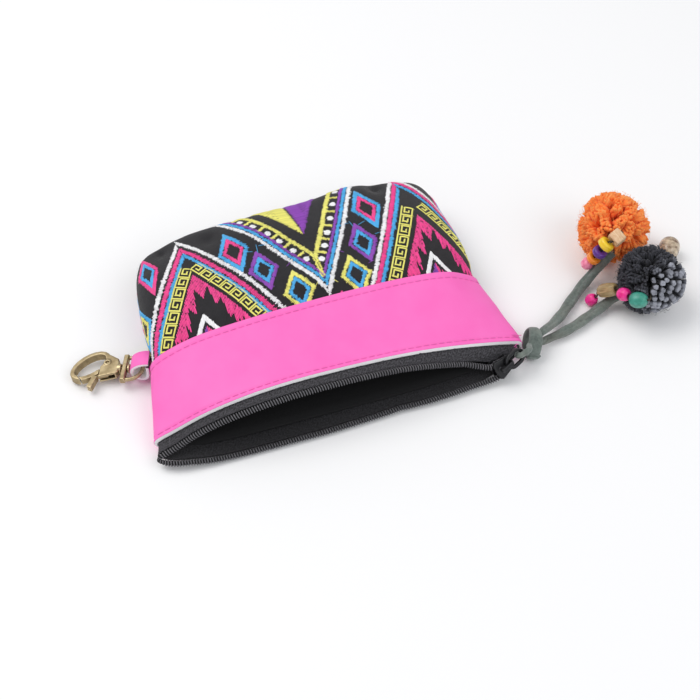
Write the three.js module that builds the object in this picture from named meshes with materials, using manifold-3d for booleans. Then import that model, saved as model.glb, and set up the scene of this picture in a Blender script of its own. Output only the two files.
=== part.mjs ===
// Embroidered zip purse lying on its back, mouth towards -Y, with a swivel hook on its left side
// and a pompom charm tied to its zip pull. Millimetres, +Z up, origin on the resting face.
import * as THREE from 'three';
import { mergeVertices } from 'three/addons/utils/BufferGeometryUtils.js';
import Module from 'manifold-3d';

const wasm = await Module();
wasm.setup();

// Driving dimensions
const gap = 0.3;
const cloth = { outer: 0, inner: 1.2 };
const band = { outer: -1.5, inner: -0.3 };
const tape = { outer: 0.1, inner: 1.1 };
const lining = { outer: 1.6, inner: 2.6 };
const sideInset = 2;
const backFlat = 0.84;
const lipRound = { left: 7, right: 3 };
const columns = 16;
const turnWeight = 0.9;
const turnSamples = 240;
const roundSegments = 10;

const coil = { radius: 1.0, seat: 0.8, leftEnd: -0.99, rightEnd: 0.7, steps: 26, sides: 6 };
const lace = { width: 4.0, thickness: 3.2, steps: 16, clearance: 0.4 };
const loop = { thickness: 2.2, steps: 22, sides: 6 };
const thread = { radius: 0.35, sides: 4, tension: 0.06, stepsPerPoint: 2 };
const beadShape = { bore: 1.0, rows: 5, clearance: 0.45, threadReach: 0.4 };

// A table's row as an object
const named = (keys, row) => Object.fromEntries(row.map((value, i) => [keys[i], value]));

// The pouch, section by section from the zip edge to the closed end. base and top are the lowest
// and highest points, seam the height of the side seams, crown and edge shape the upper arch,
// face turns the wall from side wall (0) to end wall (1), skew and lip lean and bulge the edge.
const sectionColumns = ['y', 'left', 'right', 'base', 'top', 'seamLeft', 'seamRight',
  'crown', 'edgeLeft', 'edgeRight', 'face', 'skew', 'lip'];
const sections = [
  [-45.2, -68.6, 62.0, 0.9, 17.6, 4.0, 4.5, 2.0, 0.72, 1.10, 0, -0.020, 6.6],
  [-41.0, -67.2, 68.2, 1.5, 19.0, 4.5, 7.5, 2.1, 0.72, 0.90, 0, -0.020, 5.0],
  [-26.0, -63.7, 66.0, 1.5, 20.5, 6.5, 8.5, 2.6, 0.56, 0.66, 0, -0.010, 1.5],
  [-11.0, -60.2, 63.6, 1.5, 22.5, 9.0, 9.5, 3.2, 0.44, 0.46, 0, 0.000, 0],
  [-3.0, -59.4, 64.2, 0.0, 24.6, 9.6, 10.2, 3.4, 0.42, 0.43, 0, 0.004, 0],
  [8.0, -58.6, 64.9, 0.0, 25.5, 10.2, 11.0, 3.6, 0.40, 0.40, 0, 0.010, 0],
  [22.0, -57.3, 64.8, 0.0, 25.5, 11.0, 11.0, 4.0, 0.38, 0.38, 0, 0.022, 0],
  [33.5, -55.6, 63.0, 0.0, 24.0, 11.0, 11.0, 4.0, 0.38, 0.38, 0.15, 0.030, 0],
  [40.0, -52.6, 60.0, 1.8, 21.5, 11.0, 11.0, 4.0, 0.38, 0.40, 0.6, 0.032, 0],
  [43.4, -47.6, 55.0, 5.5, 17.0, 11.0, 11.0, 4.0, 0.38, 0.40, 0.92, 0.034, 0],
  [44.6, -41.6, 49.0, 10.9, 11.1, 11.0, 11.0, 4.0, 0.38, 0.40, 1.0, 0.034, 0],
].map((row) => named(sectionColumns, row));

// Where the pieces start and end, counted in sections
const mouthEdge = 1;
const bandEdge = 3;
const tapeUnderBand = 1.35;
const clothUnderBand = 2.72;
const closedEnd = sections.length - 1;

// Zip slider: where it sits, the way the zip runs there, and the way from lower to upper lip
const sliderPlace = new THREE.Vector3(58.6, -47.8, 5.6);
const sliderAlong = new THREE.Vector3(0.9, 0.37, 0.22).normalize();
const sliderAcrossHint = new THREE.Vector3(0, 0.58, 0.81);
const slider = {
  length: 7.4, wide: 7.4, narrow: 5.4, corner: 1, plate: 0.9, throat: 2.7, bridge: 1.5,
  post: 1.6, postFrom: -3.5, postWide: -2.6, postTo: -0.6, sunk: 0.2,
};
const sliderRoom = { length: 8.8, width: 8.2, height: 8, lift: 0.6 };
const pull = { start: 0.4, holeLength: 6.2, holeWidth: 3.8, wire: 1.2, height: 3.0, steps: 5 };

// The slider's bridge seen from its side (along the zip, out), and the half-width of the coils' path
// through the slider (along the zip, across)
const bridgeLine = [[-2.2, 1.75], [-1.0, 1.75], [-1.0, 3.9], [2.3, 3.9], [2.3, 1.75], [3.3, 1.75],
  [3.3, 4.0], [2.6, 4.8], [-1.5, 4.8], [-2.2, 4.1]];
const throatLine = [[-6.6, 2.9], [-3.6, 2.4], [-1.2, 2.15], [1.2, 1.45], [3.2, 1.2]];

// Swivel hook: its rivet, heading and dip, and its sizes along (a) and across (b) that heading
const hookPlace = new THREE.Vector3(-68.9, -3.0, 4.15);
const hookHeading = THREE.MathUtils.degToRad(156.5);
const hookDip = THREE.MathUtils.degToRad(6);
const hook = {
  thickness: 3.4, bevel: 0.35, ringA: 13.1, ringB: -0.6, ringTilt: THREE.MathUtils.degToRad(42),
  holeLong: 6.5, holeShort: 3.4, wire: 1.7,
  pivotA: 6.9, pivotB: -1.7, slot: 1.8, arm: 1.2, pin: 0.7, boss: 1.6, eyelet: 1.3, eyeletRise: 0.3,
  post: 0.75, head: 1.7, headFrom: -1.5, collar: 1.9, collarTo: 3.0,
  tipReach: 11.4, tipTo: 62, tipSteps: 6,
};

// The field cut from the ring for the lever, and the gate that fills it: the cut across the plate from
// top to foot, and the angle about the pin at which the tip starts
const field = {
  hook: { cut: 9.2, top: 0.3, foot: 9, from: 28 },
  gate: { cut: 9.5, top: 1.0, foot: 9, from: 33 },
};

// Outlines in the hook's plane (a, b): its plate, the slot for the lever, the lever's arm and thumb piece
const plateLine = [[2.4, -1.9], [3.0, -3.6], [8.9, -6.9], [12.0, -6.0], [13.1, -0.6], [11.0, 5.0],
  [8.7, 4.8], [3.2, 3.3], [2.4, 2.2]];
const slotLine = [[4.6, -4.1], [9.4, -4.1], [13.0, 0.2], [13.0, 8.0], [3.6, 8.0], [3.6, 2.2]];
const armLine = [[5.6, -1.0], [8.4, -1.2], [10.4, 2.2], [10.6, 4.6], [6.1, 3.4]];
const thumbLine = [[9.7, 4.2], [11.4, 4.0], [12.9, 8.8], [11.2, 9.5]];

const eye = {
  barFrom: -0.4, barTo: 1.4, barHalf: 5.9, bevel: 0.3, bore: 1.1, wire: 0.8,
  bowA: 6.6, bowB: 5.1, full: 0.7, tall: 2.6, steps: 14, sides: 6,
};
const tab = { width: 6.4, thickness: 1.2, heading: THREE.MathUtils.degToRad(160) };
const tabRoot = new THREE.Vector3(-60.2, -6.3, 0);
const tabSteps = 26;

// Middle line of the leather loop, from the side seam round the D-ring and back: distance out, height
const tabLine = [[0.45, 10.2], [2.4, 10.1], [4.6, 9.3], [6.4, 7.6], [6.8, 5.4], [6.0, 3.5], [4.2, 2.4],
  [2.4, 2.4], [1.2, 3.6], [0.9, 6.0], [0.95, 8.6]];

// Lace, knot and pompoms
const knot = {
  place: new THREE.Vector3(74.1, -41.5, 5.2), heading: 0.54, width: 6.0, across: 5.9, tall: 4.9, face: 3.7,
  core: 0.82, square: 3, rows: 6, sides: 10,
};
const wrap = {
  from: -85, to: 265, across: 0.78, tall: 0.74, sway: 1.1, lean: 0.6, radius: 1.25, steps: 15, sides: 6,
};
const pompoms = {
  orange: { place: new THREE.Vector3(122.8, -5.4, 13.95), radius: 14.4, locks: 22, color: 0xf5701f },
  grey: { place: new THREE.Vector3(124.2, -33.8, 13.05), radius: 13.4, locks: 22, color: 0x2c2e36 },
};
const lockShape = {
  tip: 2.9, root: 5.4, sides: 5, depth: 0.5, head: 0.8, detail: 1, spread: 0.05, wave: 7.256, turn: 1.7,
};
const laceRoutes = {
  cord_tail_orange: [[77.4, -39.4, 6.7], [79.6, -38.4, 6.5], [82.4, -36.6, 5.3], [85.4, -34.5, 3.9],
    [88.6, -32.1, 2.8], [91.8, -29.7, 2.3], [94.7, -27.3, 2.2], [97.6, -25.0, 2.2], [100.5, -22.7, 2.2],
    [103.5, -20.4, 2.3], [106.4, -18.7, 3.0], [109.2, -17.6, 4.9], [111.9, -17.0, 7.7],
    [114.6, -16.8, 10.9], [117.4, -16.6, 14.2]],
  cord_tail_grey: [[77.5, -40.2, 2.6], [79.8, -39.9, 2.4], [82.9, -39.3, 2.3], [85.0, -38.9, 2.2],
    [87.0, -38.6, 2.2], [89.1, -38.1, 2.2], [91.1, -37.6, 2.2], [93.4, -36.9, 2.2], [95.7, -36.2, 2.2],
    [98.1, -35.2, 2.2], [100.5, -34.3, 2.2], [102.8, -33.4, 2.2], [105.0, -32.6, 2.3],
    [108.5, -31.4, 2.8], [111.6, -30.6, 3.8], [114.4, -30.6, 5.4], [117.0, -31.0, 7.6],
    [119.2, -31.6, 10.0]],
};

// The lace's turn round the far bar of the zip pull, along, across and out from the slider, and how
// far its two ends lie to the side of the knot's middle and above or below it
const loopTurn = [[11.2, -0.9, 3.6], [10.0, -0.3, 4.7], [8.4, 0, 5.0], [7.0, 0, 4.4], [6.4, 0, 3.0],
  [6.9, -0.1, 1.6], [8.2, -0.6, 0.8], [9.7, -1.8, 0.2], [11.1, -3.5, -0.6]];
const loopEnds = { upper: [-0.6, 2.2], lower: [-1.2, -1.7] };

// Bead strands from the pompom outwards: centre, diameter, length, how square the bead is lengthwise,
// and its number of sides, four for a square block
const beadColumns = ['name', 'x', 'y', 'z', 'diameter', 'length', 'square', 'sides', 'color'];
const strands = {
  orange: [
    ['bead_wood_tube', 116.9, -18.0, 22.7, 6.8, 4.4, 8, 4, 0xd9b48a],
    ['bead_yellow', 113.0, -17.6, 20.0, 6.2, 3.0, 4, 10, 0xf2c91c],
    ['bead_purple', 111.4, -17.0, 15.9, 5.6, 2.6, 4, 10, 0x5b2a86],
    ['bead_orange', 110.0, -15.8, 12.0, 5.4, 2.4, 4, 10, 0xf58a1e],
    ['bead_pink', 108.5, -14.4, 8.2, 4.9, 4.2, 2, 10, 0xf58ab0],
  ],
  grey: [
    ['bead_teal', 114.4, -43.0, 15.2, 6.2, 6.6, 2, 10, 0x2f9b86],
    ['bead_magenta_near', 111.6, -37.4, 13.4, 5.2, 5.0, 2, 10, 0xf0208a],
    ['bead_tan', 109.4, -29.9, 8.8, 5.6, 8.4, 2.6, 10, 0xb08c5a],
    ['bead_magenta_far', 104.8, -27.4, 2.6, 4.6, 4.4, 2, 10, 0xf0208a],
  ],
  shell: [
    ['bead_shell', 143.9, -14.6, 4.3, 8.2, 9.0, 2.4, 10, 0x8a6240],
  ],
};
const strandRoots = {
  orange: [[119.9, -15.6, 22.4], [121.6, -12.6, 20.4]],
  grey: [[119.0, -43.2, 16.4], [121.8, -40.4, 15.6]],
  shell: [[138.6, -20.6, 3.4], [134.4, -24.8, 6.4], [131.4, -27.4, 9.0]],
};
const strandHost = { orange: 'orange', grey: 'grey', shell: 'grey' };

const finishes = {
  cloth: { color: 0x17161a, roughness: 0.9, metalness: 0 },
  leather: { color: 0xff6fc4, roughness: 0.55, metalness: 0 },
  lining: { color: 0x0d0d0f, roughness: 0.95, metalness: 0 },
  zip: { color: 0x1b1b1d, roughness: 0.7, metalness: 0 },
  gunmetal: { color: 0x2a2b2d, roughness: 0.4, metalness: 0.8 },
  brass: { color: 0x8a7448, roughness: 0.42, metalness: 1 },
  suede: { color: 0x5d655f, roughness: 0.92, metalness: 0 },
  thread: { color: 0x3a352c, roughness: 0.9, metalness: 0 },
};

const purse = new THREE.Group();
purse.name = 'embroidered_coin_purse';

function addPiece(name, geometry, finish, parent = purse) {
  const mesh = new THREE.Mesh(geometry, new THREE.MeshStandardMaterial(finish));
  mesh.name = name;
  parent.add(mesh);
  return mesh;
}

// Join and cut
function toSolid(geometry) {
  const bare = geometry.clone();
  bare.deleteAttribute('normal');
  bare.deleteAttribute('uv');
  const welded = mergeVertices(bare, 1e-4);
  const corners = welded.index.array;
  const faces = [];
  for (let i = 0; i < corners.length; i += 3) {
    const [a, b, c] = corners.slice(i, i + 3);
    if (a !== b && b !== c && c !== a) faces.push(a, b, c);
  }
  return new wasm.Manifold(new wasm.Mesh({
    numProp: 3,
    vertProperties: new Float32Array(welded.attributes.position.array),
    triVerts: new Uint32Array(faces),
  }));
}

function toGeometry(solid) {
  const parts = solid.decompose().sort((a, b) => b.volume() - a.volume());
  const mesh = parts[0].getMesh();
  const geometry = new THREE.BufferGeometry();
  const corners = new Float32Array(mesh.vertProperties);
  geometry.setAttribute('position', new THREE.BufferAttribute(corners, 3));
  geometry.setIndex(new THREE.BufferAttribute(new Uint32Array(mesh.triVerts), 1));
  return geometry;
}

const joined = (geometries) => geometries.map(toSolid).reduce((a, b) => a.add(b));

// Pouch surface
function sectionAt(v) {
  const i = Math.min(Math.max(Math.floor(v), 0), sections.length - 2);
  const f = v - i;
  const [a, b, c, d] = [i - 1, i, i + 1, i + 2].map(
    (k) => sections[Math.min(Math.max(k, 0), sections.length - 1)],
  );
  const smooth = {};
  for (const key of sectionColumns) {
    smooth[key] = 0.5 * (2 * b[key] + (c[key] - a[key]) * f
      + (2 * a[key] - 5 * b[key] + 4 * c[key] - d[key]) * f * f
      + (3 * b[key] - a[key] - 3 * c[key] + d[key]) * f ** 3);
  }
  for (const key of ['base', 'face', 'lip']) smooth[key] = b[key] + (c[key] - b[key]) * f;
  return smooth;
}

// A point of the pouch wall: v along the sections, t from the left seam (-1) to the right (1)
function wallPoint(side, v, t, depth) {
  const s = sectionAt(v);
  const flat = Math.sqrt(Math.max(0, 1 - s.face * s.face));
  const reach = (s.right - s.left) / 2 - depth * flat * (depth > 0 ? sideInset : 1);
  const x = (s.left + s.right) / 2 + reach * t;
  const along = Math.min(1, Math.abs(t));
  const seam = s.seamLeft + ((s.seamRight - s.seamLeft) * (t + 1)) / 2;
  let y = s.y - depth * s.face + s.skew * x;
  let z;
  if (side === 'front') {
    const foot = seam + gap / 2;
    const edge = t < 0 ? s.edgeLeft : s.edgeRight;
    z = foot + (s.top - depth * flat - foot) * (1 - along ** s.crown) ** edge;
  } else {
    const foot = seam - gap / 2;
    const turn = Math.max(0, (along - backFlat) / (1 - backFlat));
    z = foot - (foot - s.base - depth * flat) * Math.sqrt(Math.max(0, 1 - turn * turn));
    y -= s.lip * (1 - along ** (t < 0 ? lipRound.left : lipRound.right));
  }
  return new THREE.Vector3(x, y, z);
}

// Values of t that part one section into steps, closer together where the wall turns
function sectionSteps(side, v) {
  const ts = [];
  const measure = [0];
  const points = [];
  for (let i = 0; i <= turnSamples; i += 1) {
    const u = (2 * i) / turnSamples - 1;
    ts.push(Math.sign(u) * (1 - (1 - Math.abs(u)) ** 2));
    points.push(wallPoint(side, v, ts[i], 0));
  }
  const spans = points.slice(1).map((p, i) => p.clone().sub(points[i]));
  const length = spans.reduce((sum, span) => sum + span.length(), 0);
  spans.forEach((span, i) => {
    const turn = i > 0 ? span.angleTo(spans[i - 1]) : 0;
    measure.push(measure[i] + span.length() / length + (turnWeight * turn) / Math.PI);
  });
  const steps = [];
  let k = 0;
  for (let j = 0; j <= columns; j += 1) {
    const target = (measure[turnSamples] * j) / columns;
    while (k < turnSamples - 1 && measure[k + 1] < target) k += 1;
    const f = (target - measure[k]) / (measure[k + 1] - measure[k]);
    steps.push(ts[k] + (ts[k + 1] - ts[k]) * f);
  }
  return steps;
}

function stations(from, to, count) {
  return Array.from({ length: count + 1 }, (_, i) => from + ((to - from) * i) / count);
}

// One wall panel between two depths, closed all round
function wallPanel(side, layer, vs) {
  const points = [];
  for (const depth of [layer.outer, layer.inner]) {
    for (const v of vs) {
      for (const t of sectionSteps(side, v)) points.push(wallPoint(side, v, t, depth));
    }
  }
  const width = columns + 1;
  const sheet = vs.length * width;
  const at = (k, i, j) => k * sheet + i * width + j;
  const faces = [];
  const quad = (a, b, c, d) => faces.push(a, b, c, a, c, d);
  for (let i = 0; i < vs.length - 1; i += 1) {
    for (let j = 0; j < columns; j += 1) {
      quad(at(0, i, j), at(0, i, j + 1), at(0, i + 1, j + 1), at(0, i + 1, j));
      quad(at(1, i, j), at(1, i + 1, j), at(1, i + 1, j + 1), at(1, i, j + 1));
    }
    quad(at(0, i, 0), at(0, i + 1, 0), at(1, i + 1, 0), at(1, i, 0));
    quad(at(0, i, columns), at(1, i, columns), at(1, i + 1, columns), at(0, i + 1, columns));
  }
  const end = vs.length - 1;
  for (let j = 0; j < columns; j += 1) {
    quad(at(0, 0, j), at(1, 0, j), at(1, 0, j + 1), at(0, 0, j + 1));
    quad(at(0, end, j), at(0, end, j + 1), at(1, end, j + 1), at(1, end, j));
  }
  return solidFromFaces(points, faces, side === 'back');
}

function solidFromFaces(points, faces, flip) {
  const index = [...faces];
  for (let i = 0; flip && i < index.length; i += 3) {
    [index[i + 1], index[i + 2]] = [index[i + 2], index[i + 1]];
  }
  const geometry = new THREE.BufferGeometry().setFromPoints(points);
  geometry.setIndex(index);
  return geometry;
}

// The lining is one bag: front and back walls joined at the sides and closed at the end
function liningBag(vs) {
  const points = [];
  for (const depth of [lining.outer, lining.inner]) {
    for (const v of vs) {
      for (const t of sectionSteps('front', v)) points.push(wallPoint('front', v, t, depth));
      for (const t of sectionSteps('back', v).reverse()) points.push(wallPoint('back', v, t, depth));
    }
  }
  const round = 2 * (columns + 1);
  const sheet = vs.length * round;
  const at = (k, i, j) => k * sheet + i * round + (j % round);
  const faces = [];
  const quad = (a, b, c, d) => faces.push(a, b, c, a, c, d);
  const end = vs.length - 1;
  for (let j = 0; j < round; j += 1) {
    for (let i = 0; i < end; i += 1) {
      quad(at(0, i, j), at(0, i, j + 1), at(0, i + 1, j + 1), at(0, i + 1, j));
      quad(at(1, i, j), at(1, i + 1, j), at(1, i + 1, j + 1), at(1, i, j + 1));
    }
    quad(at(0, 0, j), at(1, 0, j), at(1, 0, j + 1), at(0, 0, j + 1));
  }
  for (let j = 0; j < columns; j += 1) {
    const back = round - 1 - j;
    quad(at(0, end, j), at(0, end, j + 1), at(0, end, back - 1), at(0, end, back));
    quad(at(1, end, j), at(1, end, back), at(1, end, back - 1), at(1, end, j + 1));
  }
  return solidFromFaces(points, faces, false);
}

// Tubes, prisms and lathes
function tube(points, radius, steps, { sides = 8, flat = 1, tension = 0.5 } = {}) {
  const outline = Array.from({ length: sides }, (_, i) => {
    const angle = (2 * Math.PI * i) / sides;
    return new THREE.Vector2(radius * Math.cos(angle), radius * flat * Math.sin(angle));
  });
  const extrudePath = new THREE.CatmullRomCurve3(points, false, 'catmullrom', tension);
  return new THREE.ExtrudeGeometry(new THREE.Shape(outline), { steps, extrudePath, bevelEnabled: false });
}

function prism(shape, bottom, top, bevel = 0) {
  const geometry = new THREE.ExtrudeGeometry(shape, {
    depth: top - bottom - 2 * bevel, steps: 1, curveSegments: roundSegments,
    bevelEnabled: bevel > 0, bevelSize: bevel, bevelThickness: bevel, bevelOffset: -bevel, bevelSegments: 1,
  });
  return geometry.translate(0, 0, bottom + bevel);
}

const outlineOf = (rows) => new THREE.Shape(rows.map(([x, y]) => new THREE.Vector2(x, y)));

function rectangle(x0, y0, x1, y1) {
  return outlineOf([[x0, y0], [x1, y0], [x1, y1], [x0, y1]]);
}

// A cylinder along local X
function rod(radius, from, to, sides = 14) {
  const geometry = new THREE.CylinderGeometry(radius, radius, to - from, sides);
  return geometry.rotateZ(-Math.PI / 2).translate((from + to) / 2, 0, 0);
}

// Upright cylinder at (a, b)
function pillar(radius, a, b, bottom, top, sides = 14) {
  const geometry = new THREE.CylinderGeometry(radius, radius, top - bottom, sides);
  return geometry.rotateX(Math.PI / 2).translate(a, b, (bottom + top) / 2);
}

// Pouch
const clothStations = [clothUnderBand, 3, 4, 5, 6, 6.7, 7.3, 7.8, 8.3, 8.8, 9.4, closedEnd];
const liningStations = [tapeUnderBand, 2, 3, 4, 6, 7.3, 8.3, 9.4, closedEnd];
const bandStations = [mouthEdge, tapeUnderBand, 2, clothUnderBand, bandEdge];
const tapeStations = [0, 1, tapeUnderBand];
addPiece('lining', liningBag(liningStations), finishes.lining);
for (const side of ['front', 'back']) {
  addPiece(`cloth_${side}`, wallPanel(side, cloth, clothStations), finishes.cloth);
  addPiece(`band_${side}`, wallPanel(side, band, bandStations), finishes.leather);
}

// Zip
const sliderAcross = sliderAcrossHint.clone()
  .addScaledVector(sliderAlong, -sliderAcrossHint.dot(sliderAlong)).normalize();
const sliderOut = sliderAlong.clone().cross(sliderAcross);
const sliderFrame = new THREE.Matrix4().makeBasis(sliderAlong, sliderAcross, sliderOut)
  .setPosition(sliderPlace);
const atSlider = (x, y, z) => new THREE.Vector3(x, y, z).applyMatrix4(sliderFrame);

const zipGroup = new THREE.Group();
sliderFrame.decompose(zipGroup.position, zipGroup.quaternion, zipGroup.scale);
purse.add(zipGroup);

const sliderBox = new THREE.BoxGeometry(sliderRoom.length, sliderRoom.width, sliderRoom.height)
  .translate(0, 0, sliderRoom.lift).applyMatrix4(sliderFrame);
for (const side of ['front', 'back']) {
  const strip = wallPanel(side, tape, tapeStations);
  addPiece(`zip_tape_${side}`, toGeometry(toSolid(strip).subtract(toSolid(sliderBox))), finishes.zip);

  const lip = [];
  const middle = (tape.outer + tape.inner) / 2;
  for (const t of sectionSteps(side, 0).filter((at) => at > coil.leftEnd && at < coil.rightEnd)) {
    const edge = wallPoint(side, 0, t, middle);
    const out = edge.clone().sub(wallPoint(side, 1, t, middle)).normalize();
    lip.push(edge.addScaledVector(out, coil.radius + coil.seat));
  }
  const way = side === 'front' ? 1 : -1;
  for (const [x, y] of throatLine) lip.push(atSlider(x, way * y, 0));
  addPiece(`zip_coil_${side}`, tube(lip, coil.radius, coil.steps, { sides: coil.sides }), finishes.zip);
}

const halfThroat = slider.throat / 2;
const [halfLength, halfWide, halfNarrow] = [slider.length / 2, slider.wide / 2, slider.narrow / 2];
const sliderOutline = outlineOf([
  [-halfLength, -halfWide + slider.corner], [-halfLength + slider.corner, -halfWide],
  [halfLength - slider.corner, -halfNarrow], [halfLength, -halfNarrow + slider.corner],
  [halfLength, halfNarrow - slider.corner], [halfLength - slider.corner, halfNarrow],
  [-halfLength + slider.corner, halfWide], [-halfLength, halfWide - slider.corner],
]);
const halfPost = slider.post / 2;
const postOutline = outlineOf([
  [slider.postFrom, 0], [slider.postWide, -halfPost], [slider.postTo, 0], [slider.postWide, halfPost],
]);
const sliderSolid = joined([
  prism(sliderOutline, halfThroat, halfThroat + slider.plate),
  prism(sliderOutline, -halfThroat - slider.plate, -halfThroat),
  prism(postOutline, -halfThroat - slider.sunk, halfThroat + slider.sunk),
  prism(outlineOf(bridgeLine), -slider.bridge / 2, slider.bridge / 2).rotateX(Math.PI / 2),
]);
addPiece('zip_slider', toGeometry(sliderSolid), finishes.gunmetal, zipGroup);

// A flat outline with round ends, starting at the origin
function stadium(length, width) {
  const shape = new THREE.Shape();
  const r = width / 2;
  shape.absarc(length - r, 0, r, -Math.PI / 2, Math.PI / 2, false);
  shape.absarc(r, 0, r, Math.PI / 2, (3 * Math.PI) / 2, false);
  return shape;
}
const pullHole = stadium(pull.holeLength, pull.holeWidth).getPoints(pull.steps)
  .map((p) => new THREE.Vector2(p.x + pull.wire, p.y));
const pullOutline = stadium(pull.holeLength + 2 * pull.wire, pull.holeWidth + 2 * pull.wire);
pullOutline.holes.push(new THREE.Path(pullHole));
addPiece('zip_pull', prism(pullOutline, pull.height - pull.wire / 2, pull.height + pull.wire / 2)
  .translate(pull.start, 0, 0), finishes.gunmetal, zipGroup);

// Swivel hook: the group's X runs along the hook, its Z is the swing axis of the lever
const hookGroup = new THREE.Group();
hookGroup.position.copy(hookPlace);
hookGroup.rotation.set(0, hookDip, hookHeading, 'ZYX');
purse.add(hookGroup);

function ringOutline(long, short) {
  const shape = new THREE.Shape();
  shape.absellipse(hook.ringA, hook.ringB, long, short, 0, 2 * Math.PI, false, hook.ringTilt);
  return shape;
}

// The field that the lever takes out of the ring: past a cut across the plate, within reach of its pin
function leverField({ cut, top, foot, from }, reach) {
  const tip = stations(from, hook.tipTo, hook.tipSteps).map((degrees) => {
    const angle = THREE.MathUtils.degToRad(degrees);
    return [hook.pivotA + reach * Math.cos(angle), hook.pivotB + reach * Math.sin(angle)];
  });
  return outlineOf([[cut, top], ...tip, [cut, foot]]);
}

const half = hook.thickness / 2;
const ringShape = ringOutline(hook.holeLong + hook.wire, hook.holeShort + hook.wire);
const ringHole = toSolid(prism(ringOutline(hook.holeLong, hook.holeShort), -hook.thickness, hook.thickness));
const pivot = (radius, bottom, top) => pillar(radius, hook.pivotA, hook.pivotB, bottom, top);
const hookSolid = joined([
  prism(outlineOf(plateLine), -half, half, hook.bevel),
  prism(ringShape, -half, half, hook.bevel),
  rod(hook.collar, eye.barTo + gap, hook.collarTo),
  rod(hook.post, hook.headFrom + hook.bevel, hook.collarTo - hook.bevel),
  rod(hook.head, hook.headFrom, eye.barFrom - gap),
])
  .subtract(ringHole)
  .subtract(toSolid(prism(leverField(field.hook, hook.tipReach + gap), -hook.thickness, hook.thickness)))
  .subtract(toSolid(prism(outlineOf(slotLine), -hook.slot / 2, hook.slot / 2)))
  .add(toSolid(pivot(hook.pin, -half + hook.bevel, half - hook.bevel)))
  .add(toSolid(pivot(hook.eyelet, half - hook.bevel, half + hook.eyeletRise)))
  .subtract(toSolid(pivot(hook.eyelet / 2, half - hook.bevel, half + 2 * hook.eyeletRise)));
addPiece('hook_body', toGeometry(hookSolid), finishes.brass, hookGroup);

// Lever: a boss on the pin, an arm in the slot, the gate that closes the ring, and the thumb piece
const leverHalf = half - hook.bevel;
const gate = toSolid(prism(ringShape, -leverHalf, leverHalf))
  .subtract(ringHole)
  .intersect(toSolid(prism(leverField(field.gate, hook.tipReach), -half, half)));
const leverSolid = joined([
  prism(outlineOf(thumbLine), -leverHalf, leverHalf),
  prism(outlineOf(armLine), -hook.arm / 2, hook.arm / 2),
  pivot(hook.boss, -hook.arm / 2, hook.arm / 2),
])
  .add(gate)
  .subtract(toSolid(pivot(hook.pin + gap, -half, half)));
addPiece('hook_lever', toGeometry(leverSolid), finishes.brass, hookGroup);

// D-ring: a straight bar bored for the hook's post, and a bow of wire through the leather loop
const eyeHalf = eye.tall / 2;
const barMiddle = (eye.barFrom + eye.barTo) / 2;
const bow = stations(-90, 90, eye.steps).map((degrees) => {
  const angle = THREE.MathUtils.degToRad(degrees);
  const out = eye.bowA * Math.cos(angle) ** eye.full;
  return new THREE.Vector3(barMiddle - out, eye.bowB * Math.sin(angle), 0);
});
const eyeSolid = joined([
  prism(rectangle(eye.barFrom, -eye.barHalf, eye.barTo, eye.barHalf), -eyeHalf, eyeHalf, eye.bevel),
  tube(bow, eye.wire, eye.steps, { sides: eye.sides }),
]).subtract(toSolid(rod(eye.bore, eye.barFrom - eye.bevel, eye.barTo + eye.bevel)));
addPiece('hook_eye', toGeometry(eyeSolid), finishes.brass, hookGroup);

// Leather loop: a strip folded round the bow, both ends at the side seam
function foldedStrip(line, thickness, width) {
  const middle = new THREE.CatmullRomCurve3(line.map(([p, z]) => new THREE.Vector3(p, z, 0)));
  const [left, right] = [[], []];
  for (const f of stations(0, 1, tabSteps)) {
    const at = middle.getPointAt(f);
    const along = middle.getTangentAt(f);
    left.push([at.x - (along.y * thickness) / 2, at.y + (along.x * thickness) / 2]);
    right.push([at.x + (along.y * thickness) / 2, at.y - (along.x * thickness) / 2]);
  }
  return prism(outlineOf([...left, ...right.reverse()]), -width / 2, width / 2).rotateX(Math.PI / 2);
}
const tabMesh = addPiece('hook_tab', foldedStrip(tabLine, tab.thickness, tab.width), finishes.leather);
tabMesh.position.copy(tabRoot);
tabMesh.rotation.z = tab.heading;

// Beads: drilled turnings, each set along its strand
function beadGeometry({ diameter, length, square, sides }, grow = 0) {
  const bore = grow > 0 ? 0 : beadShape.bore;
  const rows = stations(0, Math.PI, beadShape.rows).map((angle) => {
    const s = -Math.cos(angle);
    const swell = Math.max(0, 1 - Math.abs(s) ** square) ** (1 / square);
    return new THREE.Vector2(bore + (diameter / 2 + grow - bore) * swell, s * (length / 2 + grow));
  });
  if (bore > 0) rows.push(rows[0].clone());
  return new THREE.LatheGeometry(rows, sides);
}

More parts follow.
